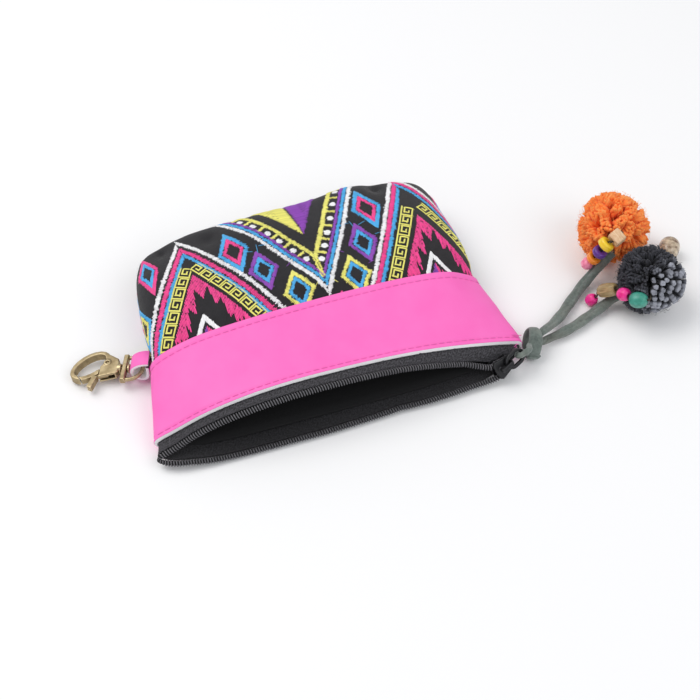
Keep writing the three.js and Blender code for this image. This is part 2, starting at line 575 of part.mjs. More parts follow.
const pits = { orange: [], grey: [] };
for (const [key, table] of Object.entries(strands)) {
  const beads = table.map((row) => named(beadColumns, row));
  const roots = strandRoots[key].map((p) => new THREE.Vector3(...p));
  const places = beads.map((b) => new THREE.Vector3(b.x, b.y, b.z));
  const line = [...roots].reverse();
  beads.forEach((bead, i) => {
    const before = i > 0 ? places[i - 1] : roots[0];
    const after = i < beads.length - 1 ? places[i + 1] : places[i];
    const axis = after.clone().sub(before).normalize();
    const turn = new THREE.Quaternion().setFromUnitVectors(new THREE.Vector3(0, 1, 0), axis);
    const finish = { color: bead.color, roughness: 0.35, metalness: 0 };
    const mesh = addPiece(bead.name, beadGeometry(bead), finish);
    mesh.position.copy(places[i]);
    mesh.quaternion.copy(turn);
    mesh.updateMatrix();
    pits[strandHost[key]].push(beadGeometry(bead, beadShape.clearance).applyMatrix4(mesh.matrix));
    const reach = bead.length / 2 + beadShape.threadReach;
    for (const way of [-reach, reach]) line.push(places[i].clone().addScaledVector(axis, way));
  });
  const steps = thread.stepsPerPoint * line.length;
  addPiece(`bead_thread_${key}`, tube(line, thread.radius, steps, thread), finishes.thread);
  pits[strandHost[key]].push(tube(line, thread.radius + gap, steps, thread));
}

// Lace
for (const [name, route] of Object.entries(laceRoutes)) {
  const points = route.map((p) => new THREE.Vector3(...p));
  const flat = lace.thickness / lace.width;
  addPiece(name, tube(points, lace.width / 2, lace.steps, { flat }), finishes.suede);
  const host = name.endsWith('orange') ? 'orange' : 'grey';
  pits[host].push(tube(points, lace.width / 2 + lace.clearance, lace.steps));
}

const knotAxis = new THREE.Vector3(Math.cos(knot.heading), Math.sin(knot.heading), 0);
const knotSide = new THREE.Vector3(-knotAxis.y, knotAxis.x, 0);
const fromKnot = (out, side, up) => knot.place.clone()
  .addScaledVector(knotAxis, out).addScaledVector(knotSide, side).add(new THREE.Vector3(0, 0, up));
const loopLine = [
  fromKnot(-knot.face, ...loopEnds.upper),
  ...loopTurn.map((p) => atSlider(...p)),
  fromKnot(-knot.face, ...loopEnds.lower),
];
addPiece('cord_loop', tube(loopLine, loop.thickness / 2, loop.steps, { sides: loop.sides }), finishes.suede);

// Knot: a barrel of lace with one turn wrapped slantwise over it
const knotRows = stations(-1, 1, knot.rows).map((s) => new THREE.Vector2(
  knot.core * Math.sqrt(1 - Math.abs(s) ** knot.square), (s * knot.width) / 2,
));
const knotBarrel = new THREE.LatheGeometry(knotRows, knot.sides).scale(knot.across, 1, knot.tall);
const wrapLine = stations(wrap.from, wrap.to, wrap.steps).map((degrees) => {
  const angle = THREE.MathUtils.degToRad(degrees);
  const along = wrap.sway * Math.cos(angle + wrap.lean);
  return new THREE.Vector3(knot.across * wrap.across * Math.cos(angle), along,
    knot.tall * wrap.tall * Math.sin(angle));
});
const wrapTube = tube(wrapLine, wrap.radius, wrap.steps, { sides: wrap.sides });
const knotMesh = addPiece('cord_knot', toGeometry(joined([knotBarrel, wrapTube])), finishes.suede);
knotMesh.position.copy(knot.place);
knotMesh.rotation.z = knot.heading - Math.PI / 2;

// Pompoms: locks of yarn fused to a head, pressed in where lace and beads lie on them
function pompom({ place, radius, locks }, pressed) {
  let solid = toSolid(new THREE.IcosahedronGeometry(radius * lockShape.head, lockShape.detail));
  for (let i = 0; i < locks; i += 1) {
    const z = 1 - (2 * i + 1) / locks;
    const angle = i * Math.PI * (3 - Math.sqrt(5));
    const level = Math.sqrt(1 - z * z);
    const way = new THREE.Vector3(level * Math.cos(angle), level * Math.sin(angle), z);
    const reach = radius * (1 - lockShape.spread * (0.5 + 0.5 * Math.sin(lockShape.wave * i)));
    const depth = radius * lockShape.depth;
    const lock = new THREE.CylinderGeometry(lockShape.tip, lockShape.root, depth, lockShape.sides);
    lock.rotateY(lockShape.turn * i);
    lock.applyQuaternion(new THREE.Quaternion().setFromUnitVectors(new THREE.Vector3(0, 1, 0), way));
    lock.translate(...way.multiplyScalar(reach - depth / 2).toArray());
    solid = solid.add(toSolid(lock));
  }
  for (const pit of pressed) {
    solid = solid.subtract(toSolid(pit.translate(-place.x, -place.y, -place.z)));
  }
  return toGeometry(solid);
}
for (const [key, ball] of Object.entries(pompoms)) {
  const finish = { color: ball.color, roughness: 1, metalness: 0 };
  const mesh = addPiece(`pompom_${key}`, pompom(ball, pits[key]), finish);
  mesh.position.copy(ball.place);
}

export default purse;
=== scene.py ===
import math

import bpy
import numpy as np
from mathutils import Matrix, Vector


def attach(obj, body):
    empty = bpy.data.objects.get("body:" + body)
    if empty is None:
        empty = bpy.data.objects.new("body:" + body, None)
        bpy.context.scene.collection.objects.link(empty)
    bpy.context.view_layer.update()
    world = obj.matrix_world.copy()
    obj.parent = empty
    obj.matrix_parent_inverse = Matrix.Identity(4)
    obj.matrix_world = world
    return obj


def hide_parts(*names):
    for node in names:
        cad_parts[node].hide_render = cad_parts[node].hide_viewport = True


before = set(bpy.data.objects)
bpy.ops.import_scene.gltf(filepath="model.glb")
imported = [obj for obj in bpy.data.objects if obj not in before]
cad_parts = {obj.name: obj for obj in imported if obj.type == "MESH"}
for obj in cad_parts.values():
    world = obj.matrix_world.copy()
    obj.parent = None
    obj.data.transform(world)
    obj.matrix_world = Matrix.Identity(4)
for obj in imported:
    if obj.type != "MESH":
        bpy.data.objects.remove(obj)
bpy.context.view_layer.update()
scene = bpy.context.scene
mm = 0.001  # lengths below are in millimetres until they go into a mesh
rng = np.random.default_rng(11)
bothSides = ("front", "back")


class Settings(dict):  # a dictionary whose entries also read as attributes
    __getattr__ = dict.__getitem__


def aim(obj, place, target, scale=1.0):  # a camera or lamp at place, looking at target
    obj.location = Vector(place) * scale
    obj.rotation_euler = (Vector(target) - Vector(place)).to_track_quat("-Z", "Y").to_euler()


# Camera
shot = Settings(place=(-99.44, -331.05, 395.35), look=(11.29, -18.34, 0.0), lens=72, sensor=36, near=0.01)
camera = bpy.data.objects.new("camera", bpy.data.cameras.new("camera"))
scene.collection.objects.link(camera)
camera.data.lens = shot.lens
camera.data.sensor_width = shot.sensor
camera.data.clip_start = shot.near
aim(camera, shot.place, shot.look, mm)
scene.camera = camera


# Small tools
def unit(v):
    v = np.asarray(v, float)
    return v / np.maximum(np.linalg.norm(v, axis=-1, keepdims=True), 1e-12)


def bell(x, middle, reach):
    return np.exp(-((x - middle) / reach) ** 2)


def ramp(x, low, high):  # 0 at low, 1 at high
    return np.clip((x - low) / (high - low), 0, 1)


def roundAngles(count):
    return np.linspace(0, 2 * math.pi, count, endpoint=False)


def compass(heading):  # level directions ahead and to the left
    ahead = np.array([math.cos(heading), math.sin(heading), 0])
    return ahead, np.array([-ahead[1], ahead[0], 0])


def keepAbove(points, low):
    points[..., 2] = np.maximum(points[..., 2], low)


def between(a, b, c, d, f):  # Catmull-Rom from b to c
    return 0.5 * (2 * b + (c - a) * f + (2 * a - 5 * b + 4 * c - d) * f**2 + (3 * b - a - 3 * c + d) * f**3)


def gridFaces(rows, cols, closed=False, flip=False):
    i, j = np.meshgrid(np.arange(rows - 1), np.arange(cols if closed else cols - 1), indexing="ij")
    k = (j + 1) % cols
    corners = [i * cols + j, i * cols + k, (i + 1) * cols + k, (i + 1) * cols + j]
    faces = np.stack(corners, -1).reshape(-1, 4)
    return faces[:, ::-1] if flip else faces


def distances(points):  # along a line from its start
    return np.concatenate([[0], np.cumsum(np.linalg.norm(np.diff(points, axis=0), axis=1))])


def smoothLine(points, count):  # one smooth line through the points, evenly spaced
    p = np.asarray(points, float)
    p = np.vstack([2 * p[0] - p[1], p, 2 * p[-1] - p[-2]])
    f = np.linspace(0, 1, 24, endpoint=False)[:, None]
    line = np.vstack([*(between(*four, f) for four in zip(p, p[1:], p[2:], p[3:])), p[-2]])
    at = distances(line)
    want = np.linspace(0, at[-1], count)
    return np.stack([np.interp(want, at, line[:, c]) for c in range(3)], -1)


def lineLength(points):
    return float(np.linalg.norm(np.diff(points, axis=0), axis=1).sum())


def frames(lines, up=None):  # normal and side along each of many lines, without twist
    tangent = unit(np.gradient(lines, axis=1))
    if up is None:
        steep = np.abs(tangent[:, :1, 2:3]) > 0.9
        last = np.where(steep, [1.0, 0, 0], [0, 0, 1.0])[:, 0]
    else:
        last = np.broadcast_to(np.asarray(up, float), tangent[:, 0].shape)
    normal = np.empty_like(tangent)
    for i in range(lines.shape[1]):
        t = tangent[:, i]
        last = unit(last - (last * t).sum(-1, keepdims=True) * t)
        normal[:, i] = last
    return normal, np.cross(tangent, normal)


tubeEnd = Settings(past=1e-4, small=0.02)  # the tiny ring that closes each end


def tubes(lines, radii, sides=8, aspect=1.0, up=None, section=None):
    lines = np.asarray(lines, float)
    lines = lines[None] if lines.ndim == 2 else lines
    radii = np.broadcast_to(np.asarray(radii, float), lines.shape[:2]).copy()
    first, last = lines[:, :1], lines[:, -1:]
    before = first - tubeEnd.past * (lines[:, 1:2] - first)
    beyond = last + tubeEnd.past * (last - lines[:, -2:-1])
    lines = np.concatenate([before, lines, beyond], 1)
    radii = np.concatenate([radii[:, :1] * tubeEnd.small, radii, radii[:, -1:] * tubeEnd.small], 1)
    normal, side = frames(lines, up)
    if section is None:
        angle = roundAngles(sides)
        section = np.stack([np.cos(angle), aspect * np.sin(angle)], -1)
    section = np.broadcast_to(section, (*lines.shape[:2], *np.shape(section)[-2:]))
    sides = section.shape[2]
    reach = radii[:, :, None, None] * section
    points = lines[:, :, None] + side[:, :, None] * reach[..., :1] + normal[:, :, None] * reach[..., 1:]
    count, rows = lines.shape[:2]
    one = gridFaces(rows, sides, closed=True, flip=True)
    faces = one[None] + (np.arange(count) * rows * sides)[:, None, None]
    return points.reshape(-1, 3), faces.reshape(-1, 4)


def joinParts(parts):
    points, faces, start = [], [], 0
    for p, f in parts:
        points.append(np.asarray(p).reshape(-1, 3))
        faces.append(np.asarray(f) + start)
        start += len(points[-1])
    return np.vstack(points), np.vstack(faces)


looks = {}  # materials by finish
ground = 0.02  # nothing sinks below this height


def addPiece(name, points, faces, finishes, slot, nodes=(), pick=None, extras=None):
    points, faces = np.asarray(points).reshape(-1, 3).copy(), np.asarray(faces)
    keepAbove(points, ground)
    mesh = bpy.data.meshes.new(name)
    mesh.vertices.add(len(points))
    mesh.vertices.foreach_set("co", (points * mm).astype(np.float32).ravel())
    mesh.loops.add(faces.size)
    mesh.loops.foreach_set("vertex_index", faces.astype(np.int32).ravel())
    mesh.polygons.add(len(faces))
    mesh.polygons.foreach_set("loop_start", np.arange(0, faces.size, faces.shape[1], dtype=np.int32))
    mesh.polygons.foreach_set("use_smooth", np.full(len(faces), True))
    for finish in finishes:
        mesh.materials.append(looks[finish])
    if pick is not None:  # which finish each face has
        mesh.polygons.foreach_set("material_index", np.asarray(pick, np.int32))
    for key, values in (extras or {}).items():
        values = np.asarray(values, np.float32)
        kind, field = ("FLOAT", "value") if values.ndim == 1 else ("FLOAT_VECTOR", "vector")
        mesh.attributes.new(key, kind, "POINT").data.foreach_set(field, values.ravel())
    mesh.update(calc_edges=True)
    mesh.validate()
    piece = bpy.data.objects.new(name, mesh)
    scene.collection.objects.link(piece)
    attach(piece, "purse")
    if nodes:
        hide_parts(*nodes)
    return piece


# Shader maths
class Sock:
    def __init__(self, shader, socket):
        self.shader, self.socket = shader, socket

    def math(self, operation, *others):
        return self.shader.node("ShaderNodeMath", {"operation": operation}, self, *others)

    def __add__(self, other):
        return self.math("ADD", other)

    def __sub__(self, other):
        return self.math("SUBTRACT", other)

    def __mul__(self, other):
        return self.math("MULTIPLY", other)

    def __rsub__(self, other):
        return self * -1 + other

    __radd__, __rmul__ = __add__, __mul__

    def sin(self):
        return self.math("SINE")

    def clip(self, low, high):  # 0 at low, 1 at high
        return self.shader.node("ShaderNodeMapRange", {}, self, low, high, 0.0, 1.0)


class Shader:
    def __init__(self, name, **constants):
        self.material = bpy.data.materials.new(name)
        self.material.use_nodes = True
        self.tree = self.material.node_tree
        self.base = self.tree.nodes["Principled BSDF"]
        for key, value in constants.items():
            self.base.inputs[key.replace("_", " ")].default_value = value

    def put(self, socket, value):
        if isinstance(value, Sock):
            self.tree.links.new(value.socket, socket)
        else:
            socket.default_value = value

    def node(self, kind, settings, *values, out=0, at=None, **named):
        node = self.tree.nodes.new(kind)
        for key, value in settings.items():
            setattr(node, key, value)
        for socket, value in zip(node.inputs, values):
            self.put(socket, value)
        for index, value in (at or {}).items():
            self.put(node.inputs[index], value)
        for key, value in named.items():
            self.put(node.inputs[key.replace("_", " ")], value)
        return Sock(self, node.outputs[out])

    def attribute(self, name, out="Fac"):
        return self.node("ShaderNodeAttribute", {"attribute_name": name}, out=out)

    def flat(self):  # place on the flat cloth, in millimetres
        return self.attribute("flat", "Vector")

    def noise(self, where, scale, detail, rough=0.5):
        return self.node("ShaderNodeTexNoise", {}, Vector=where, Scale=scale, Detail=detail, Roughness=rough)

    def grain(self, *pattern):  # noise over the object
        return self.noise(self.node("ShaderNodeTexCoord", {}, out="Object"), *pattern)

    def stretch(self, where, by):
        return self.node("ShaderNodeVectorMath", {"operation": "MULTIPLY"}, where, by)

    def split(self, where):
        return [self.node("ShaderNodeSeparateXYZ", {}, where, out=i) for i in range(3)]

    def blend(self, factor, a, b):
        return self.node("ShaderNodeMix", {"data_type": "RGBA"}, out=2, at={0: factor, 6: a, 7: b})

    def finish(self, colour, rough=None, height=None, bump=None):  # bump: strength and distance
        self.put(self.base.inputs["Base Color"], colour)
        if rough is not None:
            self.put(self.base.inputs["Roughness"], rough)
        if height is not None:
            strength, distance = bump
            relief = self.node("ShaderNodeBump", {}, Strength=strength, Distance=distance * mm, Height=height)
            self.put(self.base.inputs["Normal"], relief)
        return self.material


def rgb(r, g, b):  # display values from 0 to 255
    return tuple(((c / 255 + 0.055) / 1.055) ** 2.4 if c > 10 else c / 3295 for c in (r, g, b)) + (1.0,)


# Pouch surface, the same sections as the solid model
sectionColumns = ("y", "left", "right", "base", "top", "seamLeft", "seamRight",
                  "crown", "edgeLeft", "edgeRight", "skew", "lip")
sections = np.array([
    [-45.2, -68.6, 62.0, 0.9, 17.6, 4.0, 4.5, 2.0, 0.72, 1.10, -0.020, 6.6],
    [-41.0, -67.2, 68.2, 1.5, 19.0, 4.5, 7.5, 2.1, 0.72, 0.90, -0.020, 5.0],
    [-26.0, -63.7, 66.0, 1.5, 20.5, 6.5, 8.5, 2.6, 0.56, 0.66, -0.010, 1.5],
    [-11.0, -60.2, 63.6, 1.5, 22.5, 9.0, 9.5, 3.2, 0.44, 0.46, 0.000, 0],
    [-3.0, -59.4, 64.2, 0.0, 24.6, 9.6, 10.2, 3.4, 0.42, 0.43, 0.004, 0],
    [8.0, -58.6, 64.9, 0.0, 25.5, 10.2, 11.0, 3.6, 0.40, 0.40, 0.010, 0],
    [22.0, -57.3, 64.8, 0.0, 25.5, 11.0, 11.0, 4.0, 0.38, 0.38, 0.022, 0],
    [33.5, -55.6, 63.0, 0.0, 24.0, 11.0, 11.0, 4.0, 0.38, 0.38, 0.030, 0],
    [40.0, -52.6, 60.0, 1.8, 21.5, 11.0, 11.0, 4.0, 0.38, 0.40, 0.032, 0],
    [43.4, -47.6, 55.0, 5.5, 17.0, 11.0, 11.0, 4.0, 0.38, 0.40, 0.034, 0],
    [44.6, -41.6, 49.0, 10.9, 11.1, 11.0, 11.0, 4.0, 0.38, 0.40, 0.034, 0],
])
stations = Settings(tapeEnd=1.35, mouth=1.05, cloth=2.72, bandEnd=3.0, closed=10.0)  # counted in sections
straightColumns = ("base", "lip")  # not smoothed from section to section
backSet = Settings(flat=0.84, lipLeft=7.0, lipRight=3.0)
wallGrid = Settings(rows=241, dense=601, cols=421)


def sectionAt(v):
    i = np.clip(np.floor(v), 0, len(sections) - 2).astype(int)
    f = (v - i)[..., None]
    a, b, c, d = (sections[np.clip(i + k, 0, len(sections) - 1)] for k in (-1, 0, 1, 2))
    values = between(a, b, c, d, f)
    straight = b + (c - b) * f
    for name in straightColumns:
        k = sectionColumns.index(name)
        values[..., k] = straight[..., k]
    return Settings({name: values[..., k] for k, name in enumerate(sectionColumns)})


def wallPoint(side, v, t):  # v counts sections, t goes from the left seam, -1, to the right one, 1
    v, t = np.broadcast_arrays(np.asarray(v, float), np.asarray(t, float))
    s = sectionAt(v)
    x = (s.left + s.right) / 2 + (s.right - s.left) / 2 * t
    along = np.minimum(1, np.abs(t))
    seam = s.seamLeft + (s.seamRight - s.seamLeft) * (t + 1) / 2
    y = s.y + s.skew * x
    if side == "front":
        edge = np.where(t < 0, s.edgeLeft, s.edgeRight)
        z = seam + (s.top - seam) * (1 - along ** s.crown) ** edge
    else:
        turn = np.maximum(0, (along - backSet.flat) / (1 - backSet.flat))
        z = seam - (seam - s.base) * np.sqrt(np.maximum(0, 1 - turn**2))
        y = y - s.lip * (1 - along ** np.where(t < 0, backSet.lipLeft, backSet.lipRight))
    return np.stack([x, y, z], -1)


# One side of the pouch laid flat: u round it from its middle line, w along it from the band's edge
class Wall:
    def __init__(self, side, relief):
        self.way = 1 if side == "front" else -1
        self.v = np.linspace(0, stations.closed, wallGrid.rows)
        self.s = np.linspace(-1, 1, wallGrid.cols)
        dense, centre = np.linspace(-1, 1, wallGrid.dense), wallGrid.dense // 2
        t = np.sign(dense) * (1 - (1 - np.abs(dense)) ** 2)
        p = wallPoint(side, self.v[:, None], t[None])
        steps = np.linalg.norm(np.diff(p, axis=1), axis=2)
        arc = np.concatenate([np.zeros((len(p), 1)), np.cumsum(steps, 1)], 1)
        arc -= arc[:, centre : centre + 1]
        self.left, self.right = -arc[:, 0], arc[:, -1]
        u = self.s[None] * np.where(self.s[None] < 0, self.left[:, None], self.right[:, None])
        ts = np.stack([np.interp(a, b, t) for a, b in zip(u, arc)])
        w = distances(p[:, centre])
        self.w = w - np.interp(stations.bandEnd, self.v, w)
        self.p = wallPoint(side, self.v[:, None], ts)
        self.p = self.p + self.normals() * relief(u, self.w[:, None], self.s[None])[..., None]
        self.n = self.normals()

    def normals(self):
        return self.way * unit(np.cross(np.gradient(self.p, axis=1), np.gradient(self.p, axis=0)))

    def lift(self, v, s, up):  # the point at v and s, raised by up
        v, s, up = np.broadcast_arrays(np.asarray(v, float), np.asarray(s, float), np.asarray(up, float))
        rows, cols = wallGrid.rows - 1, wallGrid.cols - 1
        a = np.clip(v / stations.closed * rows, 0, rows - 0.001)
        b = np.clip((s + 1) * cols / 2, 0, cols - 0.001)
        i, j = a.astype(int), b.astype(int)
        f, g = (a - i)[..., None], (b - j)[..., None]

        def at(grid):
            low = grid[i, j] * (1 - g) + grid[i, j + 1] * g
            return low * (1 - f) + (grid[i + 1, j] * (1 - g) + grid[i + 1, j + 1] * g) * f

        return at(self.p) + unit(at(self.n)) * up[..., None]

    def half(self, v, ahead):  # half width on the left or, where ahead, on the right
        return np.where(ahead, np.interp(v, self.v, self.right), np.interp(v, self.v, self.left))

    def spot(self, u, w):  # v and s of a flat place
        v = np.interp(w, self.w, self.v)
        return v, u / self.half(v, u >= 0)

    def places(self, v, s):  # flat places of v and s
        v, s = np.broadcast_arrays(v, s)
        return np.stack([s * self.half(v, s >= 0), np.interp(v, self.v, self.w), np.zeros(v.shape)], -1)


clothRelief = Settings(
    wave=0.45, still=0.94, pucker=0.7, seam=0.7, side=1.0, end=63.9, fade=3.6, gather=1.35, drift=6.0,
    begin=8.0, calm=(48.0, 36.0), bulge=(-0.88, 0.1))
clothRipples = [(8.5, 13, 0.6, 1.0), (5.1, -9.5, 1.9, 0.7), (14, 4.6, 0, 0.5)]  # lengths, start, height
clothDips = [(-49.1, 49.0, 3.0, 4.0, 1.6), (-30.8, 44.3, 3.0, 4.0, 1.2), (37.8, 49.3, 3.0, 4.0, 2.4),
             (-40.0, 47.0, 16.0, 9.0, 1.7)]  # the end drawn in: middle, reach both ways, depth
bandRelief = Settings(
    wave=0.35, still=0.9, seam=0.6, left=0.8, leftAt=(-0.85, 0.12), right=1.2, rightAt=(0.88, 0.1),
    rightFrom=(-14.0, -4.0))
bandRipples = [(17, 9, 0.4, 1.0), (9.5, -12, 2, 0.6)]
seamReach = 0.012


def ripple(u, w, rows):
    return sum(high * np.sin(u / a + w / b + start) for a, b, start, high in rows)


def seamDip(s):
    return bell(1 - np.abs(s), 0, seamReach)


def clothWaves(u, w, s):
    r = clothRelief
    start = ramp(w, 0, r.begin)
    inside = start * ramp(np.abs(s), 1, r.still)
    gathers = 0.55 + 0.45 * np.sin(u / r.gather + np.sin(u / r.drift))
    pull = np.exp(-np.maximum(0, r.end - w) / r.fade) * gathers
    side = bell(s, *r.bulge) * start * ramp(w, *r.calm)
    dips = sum(deep * bell(u, a, wide) * bell(w, b, long) for a, b, wide, long, deep in clothDips)
    raised = r.wave * ripple(u, w, clothRipples) * inside + r.side * side
    return raised - r.pucker * pull - r.seam * seamDip(s) - dips


def bandWaves(u, w, s):
    r = bandRelief
    right = bell(s, *r.rightAt) * ramp(w, *r.rightFrom)
    sunk = r.seam * seamDip(s) + r.left * bell(s, *r.leftAt) + r.right * right
    return r.wave * ripple(u, w, bandRipples) * ramp(np.abs(s), 1, r.still) - sunk


walls = {side: Wall(side, clothWaves) for side in bothSides}
bandWalls = {side: Wall(side, bandWaves) for side in bothSides}
print("pouch surface")


# Materials
def clothMaterial(dark, light, threads, mottle):
    m = Shader("cloth", Roughness=0.92, Sheen_Weight=0.12, Sheen_Roughness=0.5)
    u, w, _ = m.split(m.flat())
    weave = (u * threads).sin() * (w * threads).sin()
    patches = m.noise(m.flat(), mottle, 4.0)
    return m.finish(m.blend(patches, dark, light), height=weave + patches * 2.0, bump=(0.5, 0.12))


def threadMaterial(name, colour, shade=0.78, fibre=2600.0):
    m = Shader(name, Roughness=0.5, Sheen_Weight=0.25, Specular_IOR_Level=0.45)
    dark = (*(c * shade for c in colour[:3]), 1.0)
    tinted = m.blend(m.attribute("tone"), dark, colour)
    return m.finish(tinted, height=m.grain(fibre, 3.0), bump=(0.35, 0.05))


def leatherMaterial(dark, light, cells, broad, fine):
    m = Shader("leather", Roughness=0.55, Specular_IOR_Level=0.4)
    pores = m.node("ShaderNodeTexVoronoi", {}, Vector=m.flat(), Scale=cells)
    grain = m.noise(m.flat(), fine, 4.0)
    colour = m.blend(m.noise(m.flat(), broad, 3.0), dark, light)
    return m.finish(colour, 0.48 + 0.16 * grain, pores + grain * 0.5, (0.14, 0.1))


def coreMaterial(dark, light, fibre):
    m = Shader("leather_core", Roughness=0.9)
    fluff = m.grain(fibre, 5.0, 0.7)
    return m.finish(m.blend(fluff, dark, light), height=fluff, bump=(0.6, 0.2))


def plainMaterial(name, dark, light, rough, scale, bump, **constants):
    m = Shader(name, **constants)
    grain = m.grain(scale, 4.0, 0.6)
    return m.finish(m.blend(grain, dark, light), rough + 0.12 * grain, grain, bump)


def tapeMaterial(name, dark, light, rib=6.5, sway=4.0, fleck=1.5):
    m = Shader(name, Roughness=0.85, Sheen_Weight=0.05)
    u, w, _ = m.split(m.flat())
    ribs = (u * rib + (w * sway).sin() * 0.7).sin()
    flecks = m.noise(m.flat(), fleck, 2.0, 0.7).clip(0.38, 0.68)
    colour = m.blend(flecks * 0.85 + ribs * 0.06 + 0.06, dark, light)
    return m.finish(colour, height=ribs * 0.3 + flecks, bump=(0.6, 0.15))


def brassMaterial(dark, light, wear, fine):
    m = Shader("brass", Metallic=1.0)
    worn, grain = m.grain(wear, 5.0, 0.65), m.grain(fine, 3.0)
    edge = m.node("ShaderNodeNewGeometry", {}, out="Pointiness").clip(0.47, 0.56)
    patina = (worn * 0.9 + edge * 0.5 - 0.25).clip(0.15, 0.75)
    rough = 0.46 - 0.14 * patina + 0.1 * grain
    return m.finish(m.blend(patina, dark, light), rough, worn * 0.6 + grain * 0.4, (0.12, 0.15))


def suedeMaterial(dark, light, rust, nap, patch, stain):
    m = Shader("suede", Roughness=0.95, Sheen_Weight=0.3, Sheen_Roughness=0.6)
    hair, cloud = m.grain(nap, 5.0, 0.7), m.grain(patch, 4.0, 0.65)
    colour = m.blend((hair * 0.5 + cloud * 0.6).clip(0.3, 0.8), dark, light)
    colour = m.blend(m.grain(stain, 2.0).clip(0.5, 0.7) * 0.45, colour, rust)
    return m.finish(colour, height=hair * 0.6 + cloud, bump=(0.6, 0.35))


def woolMaterial(name, dark, light, pale=None, fibre=2200.0):
    m = Shader(name, Roughness=1.0, Sheen_Weight=0.1, Sheen_Roughness=0.5)
    fluff = m.grain(fibre, 4.0, 0.7)
    # the tone runs from the dark colour, which at the roots is painted shade, to the light one
    colour = m.blend((m.attribute("tone") * 0.9 + fluff * 0.12).clip(0.1, 0.95), dark, light)
    if pale is not None:
        colour = m.blend(m.attribute("pale") * (fluff * 0.5 + 0.6), colour, pale)
    return m.finish(colour, height=fluff, bump=(0.3, 0.1))


def beadMaterial(name, dark, light, rough, grain, relief, coat, fine=700.0):
    m = Shader(name, Specular_IOR_Level=0.5, Coat_Weight=coat, Coat_Roughness=0.2)
    figure = m.noise(m.stretch(m.attribute("turned", "Vector"), grain), 1.0, 4.0, 0.6)
    specks = m.grain(fine, 3.0)
    colour = m.blend(figure.clip(0.3, 0.7), dark, light)
    return m.finish(colour, rough + 0.15 * specks, figure + specks * 0.3, (relief, 0.2))


threadColours = {"white": rgb(250, 250, 252), "pink": rgb(250, 62, 150), "blue": rgb(70, 178, 240),
                 "yellow": rgb(246, 240, 122), "purple": rgb(146, 66, 186)}
looks.update({name: threadMaterial(f"stitches_{name}", colour) for name, colour in threadColours.items()})
looks.update(  # colours, then the scale of each pattern
    cloth=clothMaterial(rgb(17, 16, 19), rgb(38, 36, 41), threads=12.0, mottle=0.35),
    leather=leatherMaterial(rgb(252, 102, 190), rgb(255, 122, 202), cells=2.6, broad=0.09, fine=3.0),
    core=coreMaterial(rgb(232, 230, 232), rgb(254, 254, 255), fibre=1500.0),
    leatherThread=threadMaterial("leather_thread", rgb(244, 104, 190)),
    lining=plainMaterial("lining", rgb(9, 9, 10), rgb(24, 24, 26), 0.9, 1400.0, (0.5, 0.2)),
    tape_front=tapeMaterial("zip_tape", rgb(18, 18, 20), rgb(86, 84, 90)),
    # the inside tape is a copy of the front tape with painted shade: its darker colours stand for the shade
    # inside the pouch
    tape_back=tapeMaterial("zip_tape_inside_painted_shade", rgb(10, 10, 12), rgb(52, 51, 55)),
    # the coil's grey is the dark nylon's colour lifted by a painted highlight for the shine on its ridges
    coil=plainMaterial("zip_coil", rgb(78, 77, 81), rgb(122, 120, 125), 0.2, 500.0, (0.1, 0.05)),
    slider=plainMaterial("slider", rgb(20, 20, 22), rgb(46, 46, 49), 0.28, 300.0, (0.08, 0.1),
                         Metallic=0.55, Coat_Weight=0.3),
    brass=brassMaterial(rgb(130, 112, 82), rgb(224, 206, 166), wear=240.0, fine=1800.0),
    suede=suedeMaterial(rgb(58, 68, 63), rgb(128, 140, 133), rgb(120, 112, 102),
                        nap=900.0, patch=240.0, stain=60.0),
    # each wool's first colour shows at the yarn's roots; it is partly the yarn's own colour and partly painted
    # shade
    wool_orange=woolMaterial("wool_orange", rgb(255, 118, 36), rgb(255, 168, 90)),
    wool_grey=woolMaterial("wool_grey", rgb(22, 22, 26), rgb(74, 75, 84), rgb(186, 189, 201)),
    beadThread=plainMaterial("bead_thread", rgb(46, 40, 32), rgb(84, 74, 60), 0.85, 1500.0, (0.3, 0.1)))
print("materials")

# Laces, laid where the solid model has them
laceSet = Settings(rings=110, sides=28, width=4.0, thick=3.2, crease=0.34, turns=1.4, start=0.72)
creaseSet = Settings(
    middle=0.4, reach=0.34, sway=((0.25, 9, 1), (0.12, 23, 2)), rough=0.05, waves=31, full=0.3)
laceRoutes = {
    "orange": [(77.4, -39.4, 6.7), (79.6, -38.4, 6.5), (82.4, -36.6, 5.3), (85.4, -34.5, 3.9),
               (88.6, -32.1, 2.8), (91.8, -29.7, 2.3), (94.7, -27.3, 2.2), (97.6, -25.0, 2.2),
               (100.5, -22.7, 2.2), (103.5, -20.4, 2.3), (106.4, -18.7, 3.0), (109.2, -17.6, 4.9),
               (111.9, -17.0, 7.7), (114.6, -16.8, 10.9), (117.4, -16.6, 14.2)],
    "grey": [(77.5, -40.2, 2.6), (79.8, -39.9, 2.4), (82.9, -39.3, 2.3), (85.0, -38.9, 2.2), (87.0, -38.6, 2.2),
             (89.1, -38.1, 2.2), (91.1, -37.6, 2.2), (93.4, -36.9, 2.2), (95.7, -36.2, 2.2), (98.1, -35.2, 2.2),
             (100.5, -34.3, 2.2), (102.8, -33.4, 2.2), (105.0, -32.6, 2.3), (108.5, -31.4, 2.8),
             (111.6, -30.6, 3.8), (114.4, -30.6, 5.4), (117.0, -31.0, 7.6), (119.2, -31.6, 10.0)],
}


